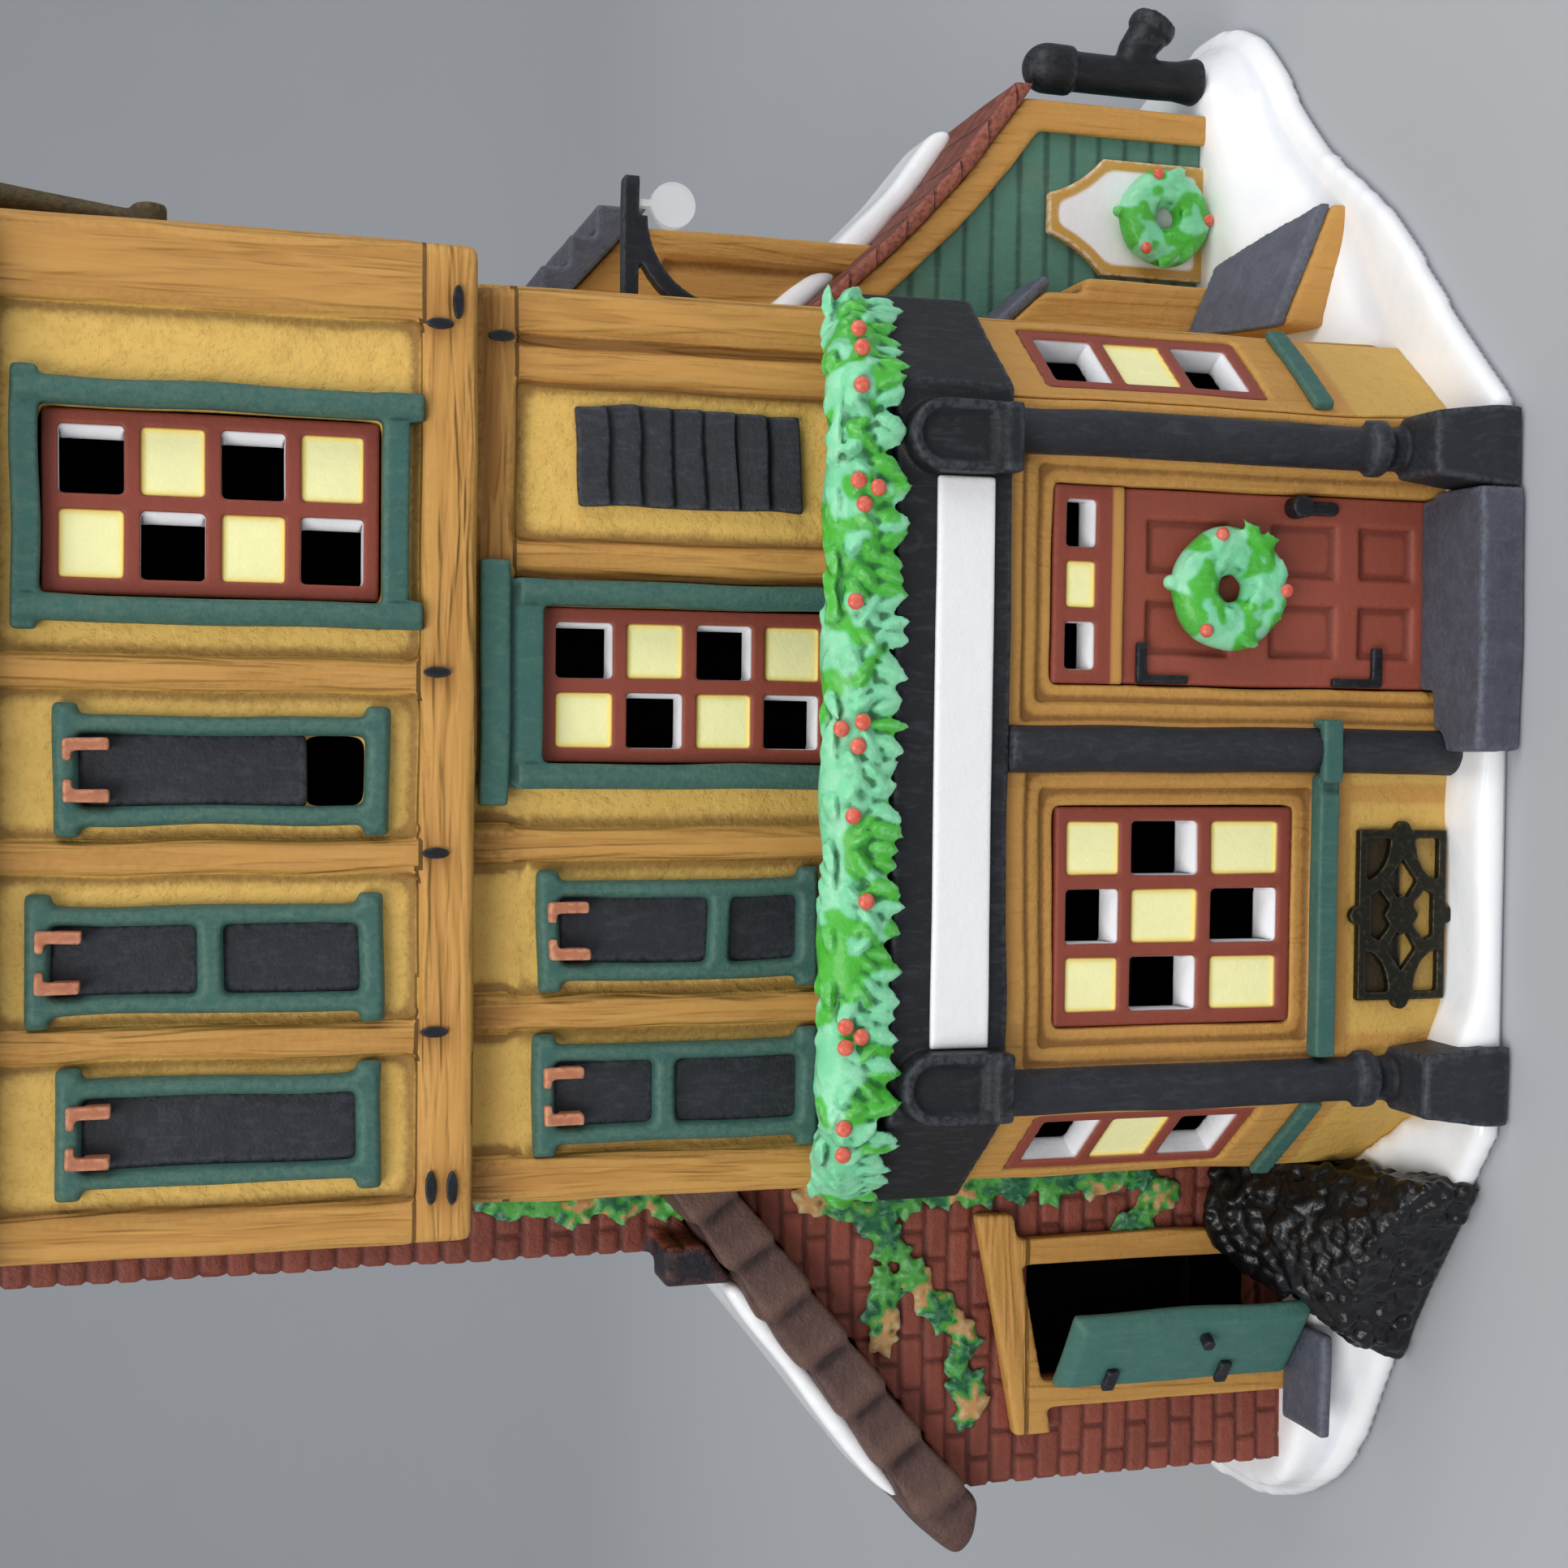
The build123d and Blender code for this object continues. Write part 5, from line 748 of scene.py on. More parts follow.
def sash(node, columns, rows, first_blind, sides=False, head=0.0, splay=0.0, slope=0.0, levels=None):
    """A chequered lattice: painted bars, yellow blind panes and bare white reveals in the open ones.

    Splay and slope lean the reveals of the open panes, and levels set the heights of the rows' ends as shares.
    """
    paint = paints()
    bar, deepen = 1.5, 1.9 if sides else 1.3
    skin = cast(node, 0.22, 2, wobble_share=0.25, melt=2)
    low, high = box_mm(node)
    x, y, z = skin.points.T
    if sides:
        side = np.sign(x)
        off, back = side * x - BAY_MIDDLE[0], y - BAY_MIDDLE[1]
        u = off * BAY_OUT + back * BAY_BACK
        depth = back * BAY_OUT - off * BAY_BACK
        inward = np.stack((-side * BAY_BACK, np.full(len(x), BAY_OUT), np.zeros(len(x))), axis=1)
        left, width = u.min(), u.max() - u.min()
    else:
        u, depth, left, width = x, y, low[0], high[0] - low[0]
        inward = np.array((0.0, 1.0, 0.0))
    depth = depth - depth.min()
    floor, height = low[2] + head, high[2] - low[2] - head
    pane_width = (width - (columns + 1) * bar) / columns
    pane_height = (height - (rows + 1) * bar) / rows
    column = np.clip(np.floor((u - left - bar / 2) / (pane_width + bar)), 0, columns - 1)
    row = np.clip(np.floor((z - floor - bar / 2) / (pane_height + bar)), 0, rows - 1)
    middle_u = left + bar + pane_width / 2 + column * (pane_width + bar)
    middle_z = floor + bar + pane_height / 2 + row * (pane_height + bar)
    edge = np.minimum(pane_width / 2 - np.abs(u - middle_u), pane_height / 2 - np.abs(z - middle_z))
    blind = (column + row) % 2 == first_blind
    pane = blend(paint.pane_edge, paint.pane, ramp(edge, 0.0, 0.75))
    inset = np.where(blind, ramp(edge, -0.22, -0.02) * ramp(depth, 0.22, 0.42), 0.0)
    colour = blend(paint.lattice, pane, inset)
    bare = np.where(blind, 0.0, ramp(edge, -0.5, -0.3) * ramp(depth, 0.25, 0.5))
    colour = blend(colour, paint.reveal, bare)
    # Painted shade: deeper than the front, all but the bare reveals darken to the inside paint
    colour = blend(colour, paint.inside, ramp(depth, 1.35, 1.6) * (1 - bare))
    colour = blend(colour, paint.timber, 1 - ramp(z, floor - 0.5, floor - 0.2))
    jamb = np.where(blind, 0.0, ramp(u - middle_u, pane_width / 2 - 0.3, pane_width / 2))
    skin.points[:, 0] -= splay * jamb * ramp(depth, 0.4, 1.5)
    sill = np.where(blind, 0.0, ramp(middle_z - z, pane_height / 2 - 0.3, pane_height / 2))
    skin.points[:, 2] += slope * sill * ramp(depth, 0.4, 1.5)
    skin.points += inward * (np.maximum(depth - 1.0, 0) * deepen)[:, None]
    if levels:
        shares = (-1, *np.linspace(0, 1, rows + 1), 2)
        share = (skin.points[:, 2] - floor) / height
        skin.points[:, 2] = floor + height * np.interp(share, shares, (-1, *levels, 2))
    finish(skin, node, colour, "sash_paint", "lattice", np.clip(bare + inset, 0, 1))


def leaf(form, base, way, outward, length, width, thick):
    """One pointed leaf from its base: a rhombic blade with a raised midrib. Gives back points along it."""
    way = way.normalized()
    side = way.cross(outward).normalized()
    face = side.cross(way).normalized()
    rings = []
    for share, spread, rise in ((0.0, 0.35, 0.7), (0.22, 0.85, 1.0), (0.48, 1.0, 0.9), (0.75, 0.62, 0.6)):
        centre = base + way * (share * length)
        half = side * (width / 2 * spread)
        rings.append([form.verts.new((centre + step) * MM) for step in (
            half, face * (thick * rise), -half, -face * (thick * 0.6 * rise))])
    tip = form.verts.new((base + way * length) * MM)
    form.faces.new(reversed(rings[0]))
    for first, second in zip(rings, rings[1:]):
        for index in range(4):
            form.faces.new((first[index], first[index - 3], second[index - 3], second[index]))
    for index in range(4):
        form.faces.new((rings[-1][index], rings[-1][index - 3], tip))
    return [base + way * (share * length) for share in (0.2, 0.5, 0.85)]


def mint_marks(points, mint):
    """A garland leaf's points for leafy: all of one paint, lighter towards the tip."""
    return [(point, 1.0 if mint else 0.0, tip) for point, tip in zip(points, (0, 0.4, 1))]


def leafy(skin, marks, low, high, patch=0.3, dry=None):
    """Leaf paint between two colours, and a dry one above them.

    Each point takes the share between the colours, and the share of light at the tip, from the nearest mark.
    """
    tree = KDTree(len(marks))
    for index, (point, _, _) in enumerate(marks):
        tree.insert(point, index)
    tree.balance()
    shares = np.empty(len(skin.points))
    tips = np.empty(len(skin.points))
    for index, point in enumerate(skin.points):
        _, found, _ = tree.find(point)
        shares[index] = marks[found][1]
        tips[index] = marks[found][2]
    shares = np.clip(skin.blur(shares, 4) + patch * field(skin.points, 3.0, 5), 0, 2)
    colour = blend(low, high, ramp(shares, 0.25, 0.75))
    if dry is not None:
        colour = blend(colour, dry, ramp(shares, 1.3, 1.6))
    colour = blend(colour, paints().leaf_tip, 0.25 * tips * ramp(shares, 0.4, 0.9))
    skin.write(colour, calm=-0.1)


def bead(form, centre, radius, squash=1.0):
    """A round bead, flattened towards the front."""
    made = bmesh.ops.create_icosphere(form, subdivisions=3, radius=radius * MM)
    bmesh.ops.scale(form, vec=(1, squash, 1), verts=made["verts"])
    bmesh.ops.translate(form, vec=Vector(centre) * MM, verts=made["verts"])


def front_of(skin, x, z, reach=1.0):
    """The foremost point of a skin near a place on its front."""
    near = (np.abs(skin.points[:, 0] - x) < reach) & (np.abs(skin.points[:, 2] - z) < reach)
    return skin.points[near, 1].min() if near.any() else None


class HouseOperator:
    """Shared settings of the operators that dress the house."""
    bl_options = {"REGISTER", "UNDO"}


class HOUSE_OT_materials(HouseOperator, bpy.types.Operator):
    """Make the paints, glazes and metals"""
    bl_idname = "house.materials"
    bl_label = "Paints and glazes"

    def execute(self, context):
        paint = paints()
        timbered("timbered")
        painted("sash_paint", tone(78, 34, 28), tone(170, 98, 78), 0.5, 0.05, 0.04, wash_share=0.5, light_share=0.2)
        painted("brick_paint", tone(74, 36, 30), tone(160, 96, 78), 0.55, 0.15, 0.12, wash_share=0.5, light_share=0.2)
        painted("green_paint", tone(36, 60, 56), tone(150, 160, 128), 0.55, 0.2, 0.06, wash_share=0.8, light_share=0.1)
        painted("charcoal_paint", tone(18, 19, 23), tone(84, 88, 96), 0.5, 0.4, 0.06, light_share=0.35)
        painted("copper_paint", tone(96, 52, 36), tone(222, 160, 126), 0.45, 0.3, 0.04, light_share=0.6)
        painted("black_paint", tone(10, 10, 12), tone(74, 78, 86), 0.45, 0.3, 0.04, light_share=0.35)
        painted("leaf_paint", paint.leaf_dark, tone(180, 240, 200), 0.4, 0.2, 0.06, 0.15, light_share=0.25)
        painted("berry_paint", tone(150, 48, 38), tone(240, 150, 126), 0.35, 0.25, 0.03, 0.2)
        painted("slate_paint", tone(28, 29, 35), tone(112, 116, 126), 0.5, 0.45, 0.1, light_share=0.4)
        painted("board_paint", tone(186, 178, 160), tone(255, 255, 255), 0.25, 0.08, 0.03, 0.3, wash_share=0.5)
        painted("pole_paint", tone(40, 34, 20), tone(124, 106, 70), 0.6, 0.5, 0.08)
        painted("tile_paint", tone(46, 33, 32), paint.tile_edge, 0.5, 0.3, 0.14, light_share=0.25)
        tiled("shed_tiles", paint.shed_tile, tone(170, 104, 84), 4.6, 3.6, "X")
        tiled("main_tiles", paint.tile, paint.tile_edge, 5.2, 3.05, "Y")
        glazed("snow_glaze", tone(222, 228, 238), 0.16, 0.06, 0.2)
        metal("grille_metal", tone(38, 37, 30), tone(104, 98, 74), 0.4, 0.75)
        metal("brass_metal", tone(186, 146, 66), tone(236, 208, 132), 0.28, 1.0)
        clear("clear_plastic", tone(232, 236, 240), 0.06, 0.3)
        clear("bulb_glass", tone(246, 246, 242), 0.02, 0.2)
        glazed("lamp_plastic", tone(206, 202, 190), 0.3, 0.03, 0.35, tone(232, 230, 222))
        chipped("coal_glaze", paint.coal, tone(40, 42, 48))
        return {"FINISHED"}


class HOUSE_OT_snow(HouseOperator, bpy.types.Operator):
    """Snow base and the snow on the roofs"""
    bl_idname = "house.snow"
    bl_label = "Snow"

    def execute(self, context):
        self.base()
        self.roofs()
        return {"FINISHED"}

    def base(self):
        """The base, with snow drifted up before the shop front; the ground under the rooms takes painted shade."""
        paint = paints()
        skin = cast("snow_base", 0.8, 8, wobble_share=0, melt=8)
        x, y, z = skin.points.T
        ground = z < 0.5
        peak, reach, most, least = -33, 5, 2.2, 0.2
        drift = most * np.exp(-((x - peak) / reach) ** 2) + least + 0.35 * field(skin.points, 7.0, 9)
        drift = drift * ramp(z, 1.2, 2.4) * (1 - ramp(y, -44, -40)) * (1 - ramp(x, -3, 4)) * ramp(x, -38, -34)
        skin.points[:, 2] += drift
        skin.points += skin.normals() * (0.3 * field(skin.points, 16.0, 3) + 0.25)[:, None]
        skin.points[ground, 2] = np.minimum(skin.points[ground, 2], 0.0)
        skin.points[:, 2] = np.maximum(skin.points[:, 2], 0.0)
        # Painted shade: the snow within the house, the bay and the lean-to takes the dark inside paint
        rooms = (((-43, -31, 2), (43, 35, 4)), ((-35, -41, 2), (35, -31, 4)), ((-82, -18, 2), (-46, 5, 12)))
        unlit = sum(within(skin.points, low, high) for low, high in rooms)
        finish(skin, "snow_base", blend(paint.snow, paint.inside, np.clip(unlit, 0, 1)), "snow_glaze", "snow")

    def roofs(self):
        """Snow on the roofs: the shed's lies back along its slope, and the main roof's ends in uneven tongues."""
        skin = cast("roof_snow", 0.6, 4, wobble_share=0, melt=14)
        x, y, z = skin.points.T
        shed_left, shed_width, shed_rear = 46.5, 35.2, 30
        shed = (x > 46) & (z < 100)
        back = 0.3 + 0.36 * np.clip((x - shed_left) / shed_width, 0, 1)
        skin.points[shed, 1] = shed_rear - ((shed_rear - y) * (1 - back))[shed]
        for _ in range(24):
            skin.points[shed] += 0.5 * (skin.mean(skin.points) - skin.points)[shed]
        off = y - (box_mm("roof_front")[0][1] + box_mm("roof_rear")[1][1]) / 2
        along = np.stack((x, 40 * np.sign(off), np.zeros(len(x))), axis=1)
        tongue = ramp(z, 150, 152) * ramp(np.abs(off), 7, 14) * (0.4 + 2.4 * field(along, 13.0, 12))
        run, fall = 0.64, 0.77
        skin.points[:, 1] += run * np.sign(off) * tongue
        skin.points[:, 2] -= fall * tongue
        skin.points += skin.normals() * (0.5 + 0.55 * field(skin.points, 11.0, 3))[:, None]
        finish(skin, "roof_snow", paints().snow, "snow_glaze", "snow")


class HOUSE_OT_walls(HouseOperator, bpy.types.Operator):
    """Timber-framed fronts, sides and rear"""
    bl_idname = "house.walls"
    bl_label = "Walls"

    def execute(self, context):
        cut = casting()
        pegs = peg_places()
        framed("upper_front", cut.plain, 1, -1, UPPER_FACE, UPPER_RAILS, solid=((41.9, 50), (-50, -45)), stains=pegs)
        framed("first_floor_front", cut.plain, 1, -1, FIRST_FACE, FIRST_RAILS,
               solid=((36.9, 47), (17.2, 21.2), (-47, -42.4)), stains=pegs, jetty_shade=(100.0, 107.5),
               open_heads=((-41.8, -29.4), (-25.2, -12.0), (-7.8, -3.0)))
        for side, core, upper in ((1, "right_wall", "upper_right"), (-1, "left_wall", "upper_left")):
            for node, face, members in ((core, CORE_SIDE, CORE_MEMBERS), (upper, UPPER_SIDE, UPPER_MEMBERS)):
                left, right = sorted((side * (face - MEMBER_DEPTH), side * face))
                boxes = [((left, y0, z0), (right, y1, z1)) for y0, y1, z0, z1 in members]
                framed(node, cut.coarse, 0, side, face, SIDE_RAILS, boxes, 1.0, melt=3)
        for node, half, low, high in (("rear_wall", 46.4, 2.6, 107.9), ("upper_rear", 49.4, 108.1, 157.9)):
            members = [(x - POST, x + POST, low, high) for x in (-half + POST, half - POST)]
            members += [(x - STUD, x + STUD, max(low, 66), high) for x in (-24.0, 0.0, 24.0)]
            members += [(-half, half, z - BEAM, z + BEAM) for z in (low + BEAM, high - BEAM, 64.3) if z > low]
            boxes = [((x0, REAR_FACE - MEMBER_DEPTH, z0), (x1, REAR_FACE, z1)) for x0, x1, z0, z1 in members]
            framed(node, cut.coarse, 1, 1, REAR_FACE, REAR_RAILS, boxes, 1.0, melt=3)
        return {"FINISHED"}


class HOUSE_OT_shop(HouseOperator, bpy.types.Operator):
    """Shop front, bay sides, columns, fascia, board, sills, step and grille"""
    bl_idname = "house.shop"
    bl_label = "Shop front"

    def execute(self, context):
        paint = paints()
        for node in ("shop_front_wall", "bay_sides"):
            self.wall(node)
        plain_cast("shop_columns", 0.32, paint.charcoal, "charcoal_paint", "charcoal", 4, melt=3)
        plain_cast("fascia", 0.32, np.array(paint.charcoal) * 0.55, "charcoal_paint", "charcoal", 4, melt=3)
        plain_cast("sign_panel", 0.3, paint.board, "board_paint", "board", 3, 0.3)
        self.sills()
        plain_cast("door_step", 0.32, np.array(paint.slate) * 0.8, "slate_paint", "slate", 5, melt=5)
        plain_cast("vent_grille", 0.16, paint.grille, "grille_metal", "iron", 2, 0, 1)
        plain_cast("bay_roof", 0.8, paint.charcoal, "charcoal_paint", "tile", 3)
        return {"FINISHED"}

    def wall(self, node):
        """A wall of the bay: timber over a stucco dado, with painted shade inside and behind the openings of the
        grille.
        """
        paint = paints()
        skin = cast(node, 0.36, melt=3)
        normal = skin.normals()
        x, y, z = skin.points.T
        dado_top, dado_end, strip = (14.4, 15.2), (-1.5, 1.0), 1.6
        dado = 1 - ramp(z, *dado_top)
        board = np.array(paint.timber) * 0.96
        if node == "shop_front_wall":
            dado = dado * (1 - ramp(x, *dado_end))
            low, high = box_mm("vent_grille")
            rim, sill, front, back = 1.2, 1.6, -50, -40
            left, right, middle = low[0] + rim, high[0] - rim, (low[2] + high[2]) / 2
            upper = within(skin.points, (left, front, middle), (right, back, high[2] - sill), 0.6)
            lower = within(skin.points, (left, front, low[2] + sill), (right, back, middle), 0.6)
            # Painted shade: the inner face, and the dado behind the grille's openings, the upper half more, take the
            # dark inside paint
            inner = ramp(y, -41.0, -40.2) * ramp(normal[:, 1], 0.2, 0.6) + (upper * 0.95 + lower * 0.4)
            strips = sum(between(x, start, start + strip, 0.5) for start in (-31.9, -4.9))
            colour = blend(board, np.array(paint.stucco) * 0.84, dado * (1 - strips))
        else:
            # Painted shade: the inner face takes the dark inside paint
            inner = ramp(normal[:, 1], 0.2, 0.5)
            colour = blend(board, np.array(paint.stucco) * 0.8, dado)
        finish(skin, node, colour, "timbered", "timber", timber=0.3 * (1 - dado), lay=np.zeros(len(x)),
               wash=0.4 * dado, unlit=np.clip(inner, 0, 1))

    def sills(self):
        """Sills: a flat band across the middle column, and side sills as long as their panels."""
        skin = cast("shop_sills", 0.22, 8, melt=5, wobble_share=0.6)
        x, y, _ = skin.points.T
        shop_face, proud, flatter, longer = -44, -46, 0.16, 0.17
        band = ramp(x, -4.5, -3.6) * (1 - ramp(x, 4.6, 5.4))
        skin.points[:, 1] += flatter * (shop_face - y) * band * (y < proud)
        for side in (-1, 1):
            along = np.array((side * BAY_OUT, BAY_BACK, 0.0))
            own = side * x > 36.8
            middle = skin.points[own].mean(axis=0)
            skin.points[own] += longer * ((skin.points[own] - middle) @ along)[:, None] * along
        finish(skin, "shop_sills", paints().green, "green_paint", "green")


class HOUSE_OT_sashes(HouseOperator, bpy.types.Operator):
    """Chequered lattice sashes"""
    bl_idname = "house.sashes"
    bl_label = "Sashes"

    def execute(self, context):
        sash("shop_sash", 3, 3, 0, slope=0.9, levels=(0, 0.367, 0.724, 1))
        sash("bay_side_sashes", 1, 3, 1, sides=True, slope=0.8)
        sash("door_transom", 3, 1, 1, head=1.8, slope=0.5)
        sash("first_floor_sash", 2, 4, 1, splay=0.5, slope=0.3)
        sash("upper_sash", 2, 4, 1, splay=1.0)
        return {"FINISHED"}


class HOUSE_OT_joinery(HouseOperator, bpy.types.Operator):
    """Door, shutters, window frames, louvre and their ironwork"""
    bl_idname = "house.joinery"
    bl_label = "Joinery"

    def execute(self, context):
        paint = paints()
        # The door's hollows take a much stronger wash and its edges more light: partly its antique wash, partly painted
        # shade and painted highlight for deeper panels
        plain_cast("door", 0.24, paint.door, "sash_paint", "lattice", 3, 0.5, 2, calm=-0.8)
        plain_cast("door_ironwork", 0.18, paint.black, "black_paint", "black", 3, 0, 1)
        self.frames()
        skin = cast("shutters", 0.26, 4, wobble_share=1.4, melt=6)
        front = ramp(-skin.normals()[:, 1], 0.5, 0.9)
        skin.points[:, 1] -= 0.7 * ramp(skin.blur(front, 14), 0.3, 0.85)
        skin.soften(0, 2)
        finish(skin, "shutters", paint.green, "green_paint", "green")
        plain_cast("shutter_panels", 0.28, np.array(paint.charcoal) * 1.1, "charcoal_paint", "charcoal", 4, melt=2,
                   swell=0.4)
        plain_cast("shutter_hinges", 0.2, paint.copper, "copper_paint", "copper", 3, 1.4, 3, shorten_hooks)
        skin = cast("louvre", 0.24, 4, melt=4)
        low, high = box_mm("louvre")
        tilt, uneven = 0.07, 0.35 * field(skin.points, 5.0, 31)
        skin.points[:, 2] += tilt * (skin.points[:, 0] - (low[0] + high[0]) / 2) + uneven
        skin.points[:, 0] += 0.25 * field(skin.points, 4.0, 32)
        finish(skin, "louvre", paint.charcoal, "charcoal_paint", "charcoal")
        plain_cast("iron_pegs", 0.16, paint.black, "black_paint", "black", 3, 0, 1, slim_pegs)
        return {"FINISHED"}

    def frames(self):
        """Green frames: round jambs that run past the sill, and a head that stays between them."""
        bar, around, roundness, past_sill = 2.6, 5, 0.55, 1.3
        first, upper = box_mm("first_floor_sash"), box_mm("upper_sash")
        middle, half = (first[0][0] + first[1][0]) / 2, (first[1][0] - first[0][0]) / 2 + bar
        filler = ((middle - half, -32.8, first[1][2] + 2.4), (middle + half, -31.9, first[1][2] + 3.8))
        skin = cast("window_frames", 0.26, 4, (filler,), melt=4)
        for low, high, has_sill in ((*first, False), (*upper, True)):
            x, _, z = skin.points.T
            own = (z > low[2] - around) & (z < high[2] + around)
            off = x - (low[0] + high[0]) / 2
            inner = (high[0] - low[0]) / 2 + 0.15
            outer = inner + bar
            ears = own & (np.abs(off) > outer) & ((z < low[2]) if has_sill else (z < high[2] + 3.2))
            skin.points[ears, 0] -= (off - np.sign(off) * outer)[ears]
            jamb = np.clip((np.abs(off) - inner) / bar, 0, 1) * own * (z < high[2] + 2.6)
            skin.points[:, 1] -= roundness * np.sin(math.pi * jamb)
            if has_sill:
                foot = own * ramp(np.abs(off), inner - 0.3, inner) * (1 - ramp(z, low[2] - 2.4, low[2] - 1.2))
                skin.points[:, 2] -= past_sill * foot
        finish(skin, "window_frames", paints().green, "green_paint", "green")


class HOUSE_OT_garland(HouseOperator, bpy.types.Operator):
    """Garland with its berries, and the two wreaths"""
    bl_idname = "house.garland"
    bl_label = "Garland and wreaths"

    def execute(self, context):
        rng = random.Random(casting().seed)
        self.swag(rng)
        self.wreaths(rng)
        return {"FINISHED"}

    def swag(self, rng):
        """The garland: a core of beads along the fascia, three rows of leaves over it, and berries on its front."""
        form = bmesh.new()
        marks = []
        step, end_trim = 0.7, 2.6
        route = [Vector(stop) for stop in GARLAND_ROUTE]
        for start, end in zip(route, route[1:]):
            run = (end - start).normalized()
            outward = Vector((run.y, -run.x, 0))
            length = (end - start).length
            trim = end_trim if length < 20 else 0.0  # the slanting ends stop short of the wall
            if start.y > -40:
                start = start + run * trim
            length -= trim
            for index in range(int(length / step) + 1):
                along = start + run * min(index * step, length)
                spot = along + outward * 0.1 + Vector((0, 0, GARLAND_HEIGHT - self.sag(along)))
                bead(form, spot, 3.1 + 0.3 * math.sin(index * 0.31), 0.9)
            for kind, pitch in (("tip", 1.4), ("body", 1.3), ("top", 1.7)):
                for index in range(int(length / pitch) + 1):
                    along = start + run * (index * pitch + rng.uniform(-0.4, 0.4))
                    lean = rng.choice((-1, 1)) * rng.uniform(0.5, 1.2)
                    if kind == "tip":
                        base = along + outward * rng.uniform(2.0, 2.6) + Vector((0, 0, rng.uniform(69.8, 70.8)))
                        way = run * rng.uniform(-0.5, 0.5) + outward * 0.12 + Vector((0, 0, -1))
                        size, width, thick, face = rng.uniform(3.2, 4.4), rng.uniform(2.1, 2.9), 0.9, outward
                    elif kind == "body":
                        base = along + outward * rng.uniform(2.5, 2.9) + Vector((0, 0, rng.uniform(71.0, 73.4)))
                        way = run * lean - outward * 0.15 + Vector((0, 0, -0.75))
                        size, width, thick, face = rng.uniform(3.6, 5.2), rng.uniform(2.2, 3.0), 1.1, outward
                    else:
                        base = along + outward * rng.uniform(-0.6, 1.4) + Vector((0, 0, 74.3))
                        way = run * lean + outward * rng.uniform(0.0, 0.5) - Vector((0, 0, 0.1))
                        size, width, thick, face = rng.uniform(3.0, 4.4), rng.uniform(2.0, 2.8), 0.9, Vector((0, 0, 1))
                    base.z -= self.sag(along)
                    points = leaf(form, base, way, face, size, width, thick)
                    patch = field(np.array([base]), 6.0, 11)[0] + rng.uniform(-0.6, 0.6)
                    marks += mint_marks(points, patch > -0.12)
        skin = skinned(form, 0.26)
        skin.soften(1, 3)
        leafy(skin, marks, paints().leaf, paints().mint)
        place("garland_leaves", skin.mesh, "leaf_paint", "foliage", ("garland",))
        berries = bmesh.new()
        for x, z in GARLAND_BERRIES:
            front = front_of(skin, x, z)
            if front is not None:
                bead(berries, (x, front + 0.1, z), 0.85, 0.6)
        self.finish_beads(berries, "berries", ("garland_berries",))

    def wreaths(self, rng):
        """The wreaths on the door and on the shed's board: a ring of beads, leaves round it, and berries."""
        form = bmesh.new()
        marks = []
        beads, leaves, proud, door_height = 64, 34, 1.6, 38.4
        door, board = box_mm("door")[0], box_mm("shed_sign")[0]
        places = ((Vector((17.6, door[1] - proud, door[2] + 0.70 * door_height)), 7.0, 0.16),
                  (Vector((67.6, board[1] - proud, 16.0)), 6.5, 0.3))
        for centre, radius, green in places:
            for ring in range(beads):
                turn = ring / beads * math.tau
                spoke = Vector((math.cos(turn), 0, math.sin(turn)))
                bead(form, centre + spoke * (radius * 0.58), radius * (0.37 + 0.012 * math.sin(turn * 6)), 0.8)
            for index in range(leaves):
                turn = index / leaves * math.tau + rng.uniform(-0.1, 0.1)
                spoke = Vector((math.cos(turn), 0, math.sin(turn)))
                spin = Vector((-math.sin(turn), 0, math.cos(turn)))
                base = centre + spoke * radius * rng.uniform(0.35, 0.75) + Vector((0, -radius * 0.27, 0))
                way = spoke * rng.uniform(-0.2, 0.6) + spin * rng.choice((-1, 1)) + Vector((0, 0.15, 0))
                points = leaf(form, base, way, Vector((0, -1, 0)), rng.uniform(2.8, 4.0), rng.uniform(2.0, 2.6), 0.5)
                patch = 0.5 * math.sin(3 * turn + 0.6) + 0.25 + rng.uniform(-0.3, 0.3)
                marks += mint_marks(points, patch > green)
            bead(form, centre + Vector((0.06 * radius, -0.3, radius * 0.99)), radius * 0.13, 0.9)
        skin = skinned(form, 0.24)
        skin.soften(1, 6)
        leafy(skin, marks, paints().leaf, paints().mint)
        place("wreath_leaves", skin.mesh, "leaf_paint", "foliage", ("wreaths",))
        berries = bmesh.new()
        for centre, radius, _ in places:
            for turn, share in WREATH_BERRIES:
                x, z = centre.x + math.cos(turn) * share * radius, centre.z + math.sin(turn) * share * radius
                front = front_of(skin, x, z, 0.8)
                if front is not None:
                    bead(berries, (x, front + 0.25, z), 0.75, 0.8)
        self.finish_beads(berries, "wreath_berries", ())

    def sag(self, spot):
        """How far the garland hangs lower towards its ends."""
        slope, level_half = 0.3, 36.0
        return slope * max(0.0, abs(spot.x) - level_half)

    def finish_beads(self, form, name, nodes):
        """Paint a form of berries and place it."""
        mesh = bpy.data.meshes.new(name)
        form.to_mesh(mesh)
        form.free()
        Skin(mesh).write(paints().berry)
        place(name, mesh, "berry_paint", "berry", nodes)


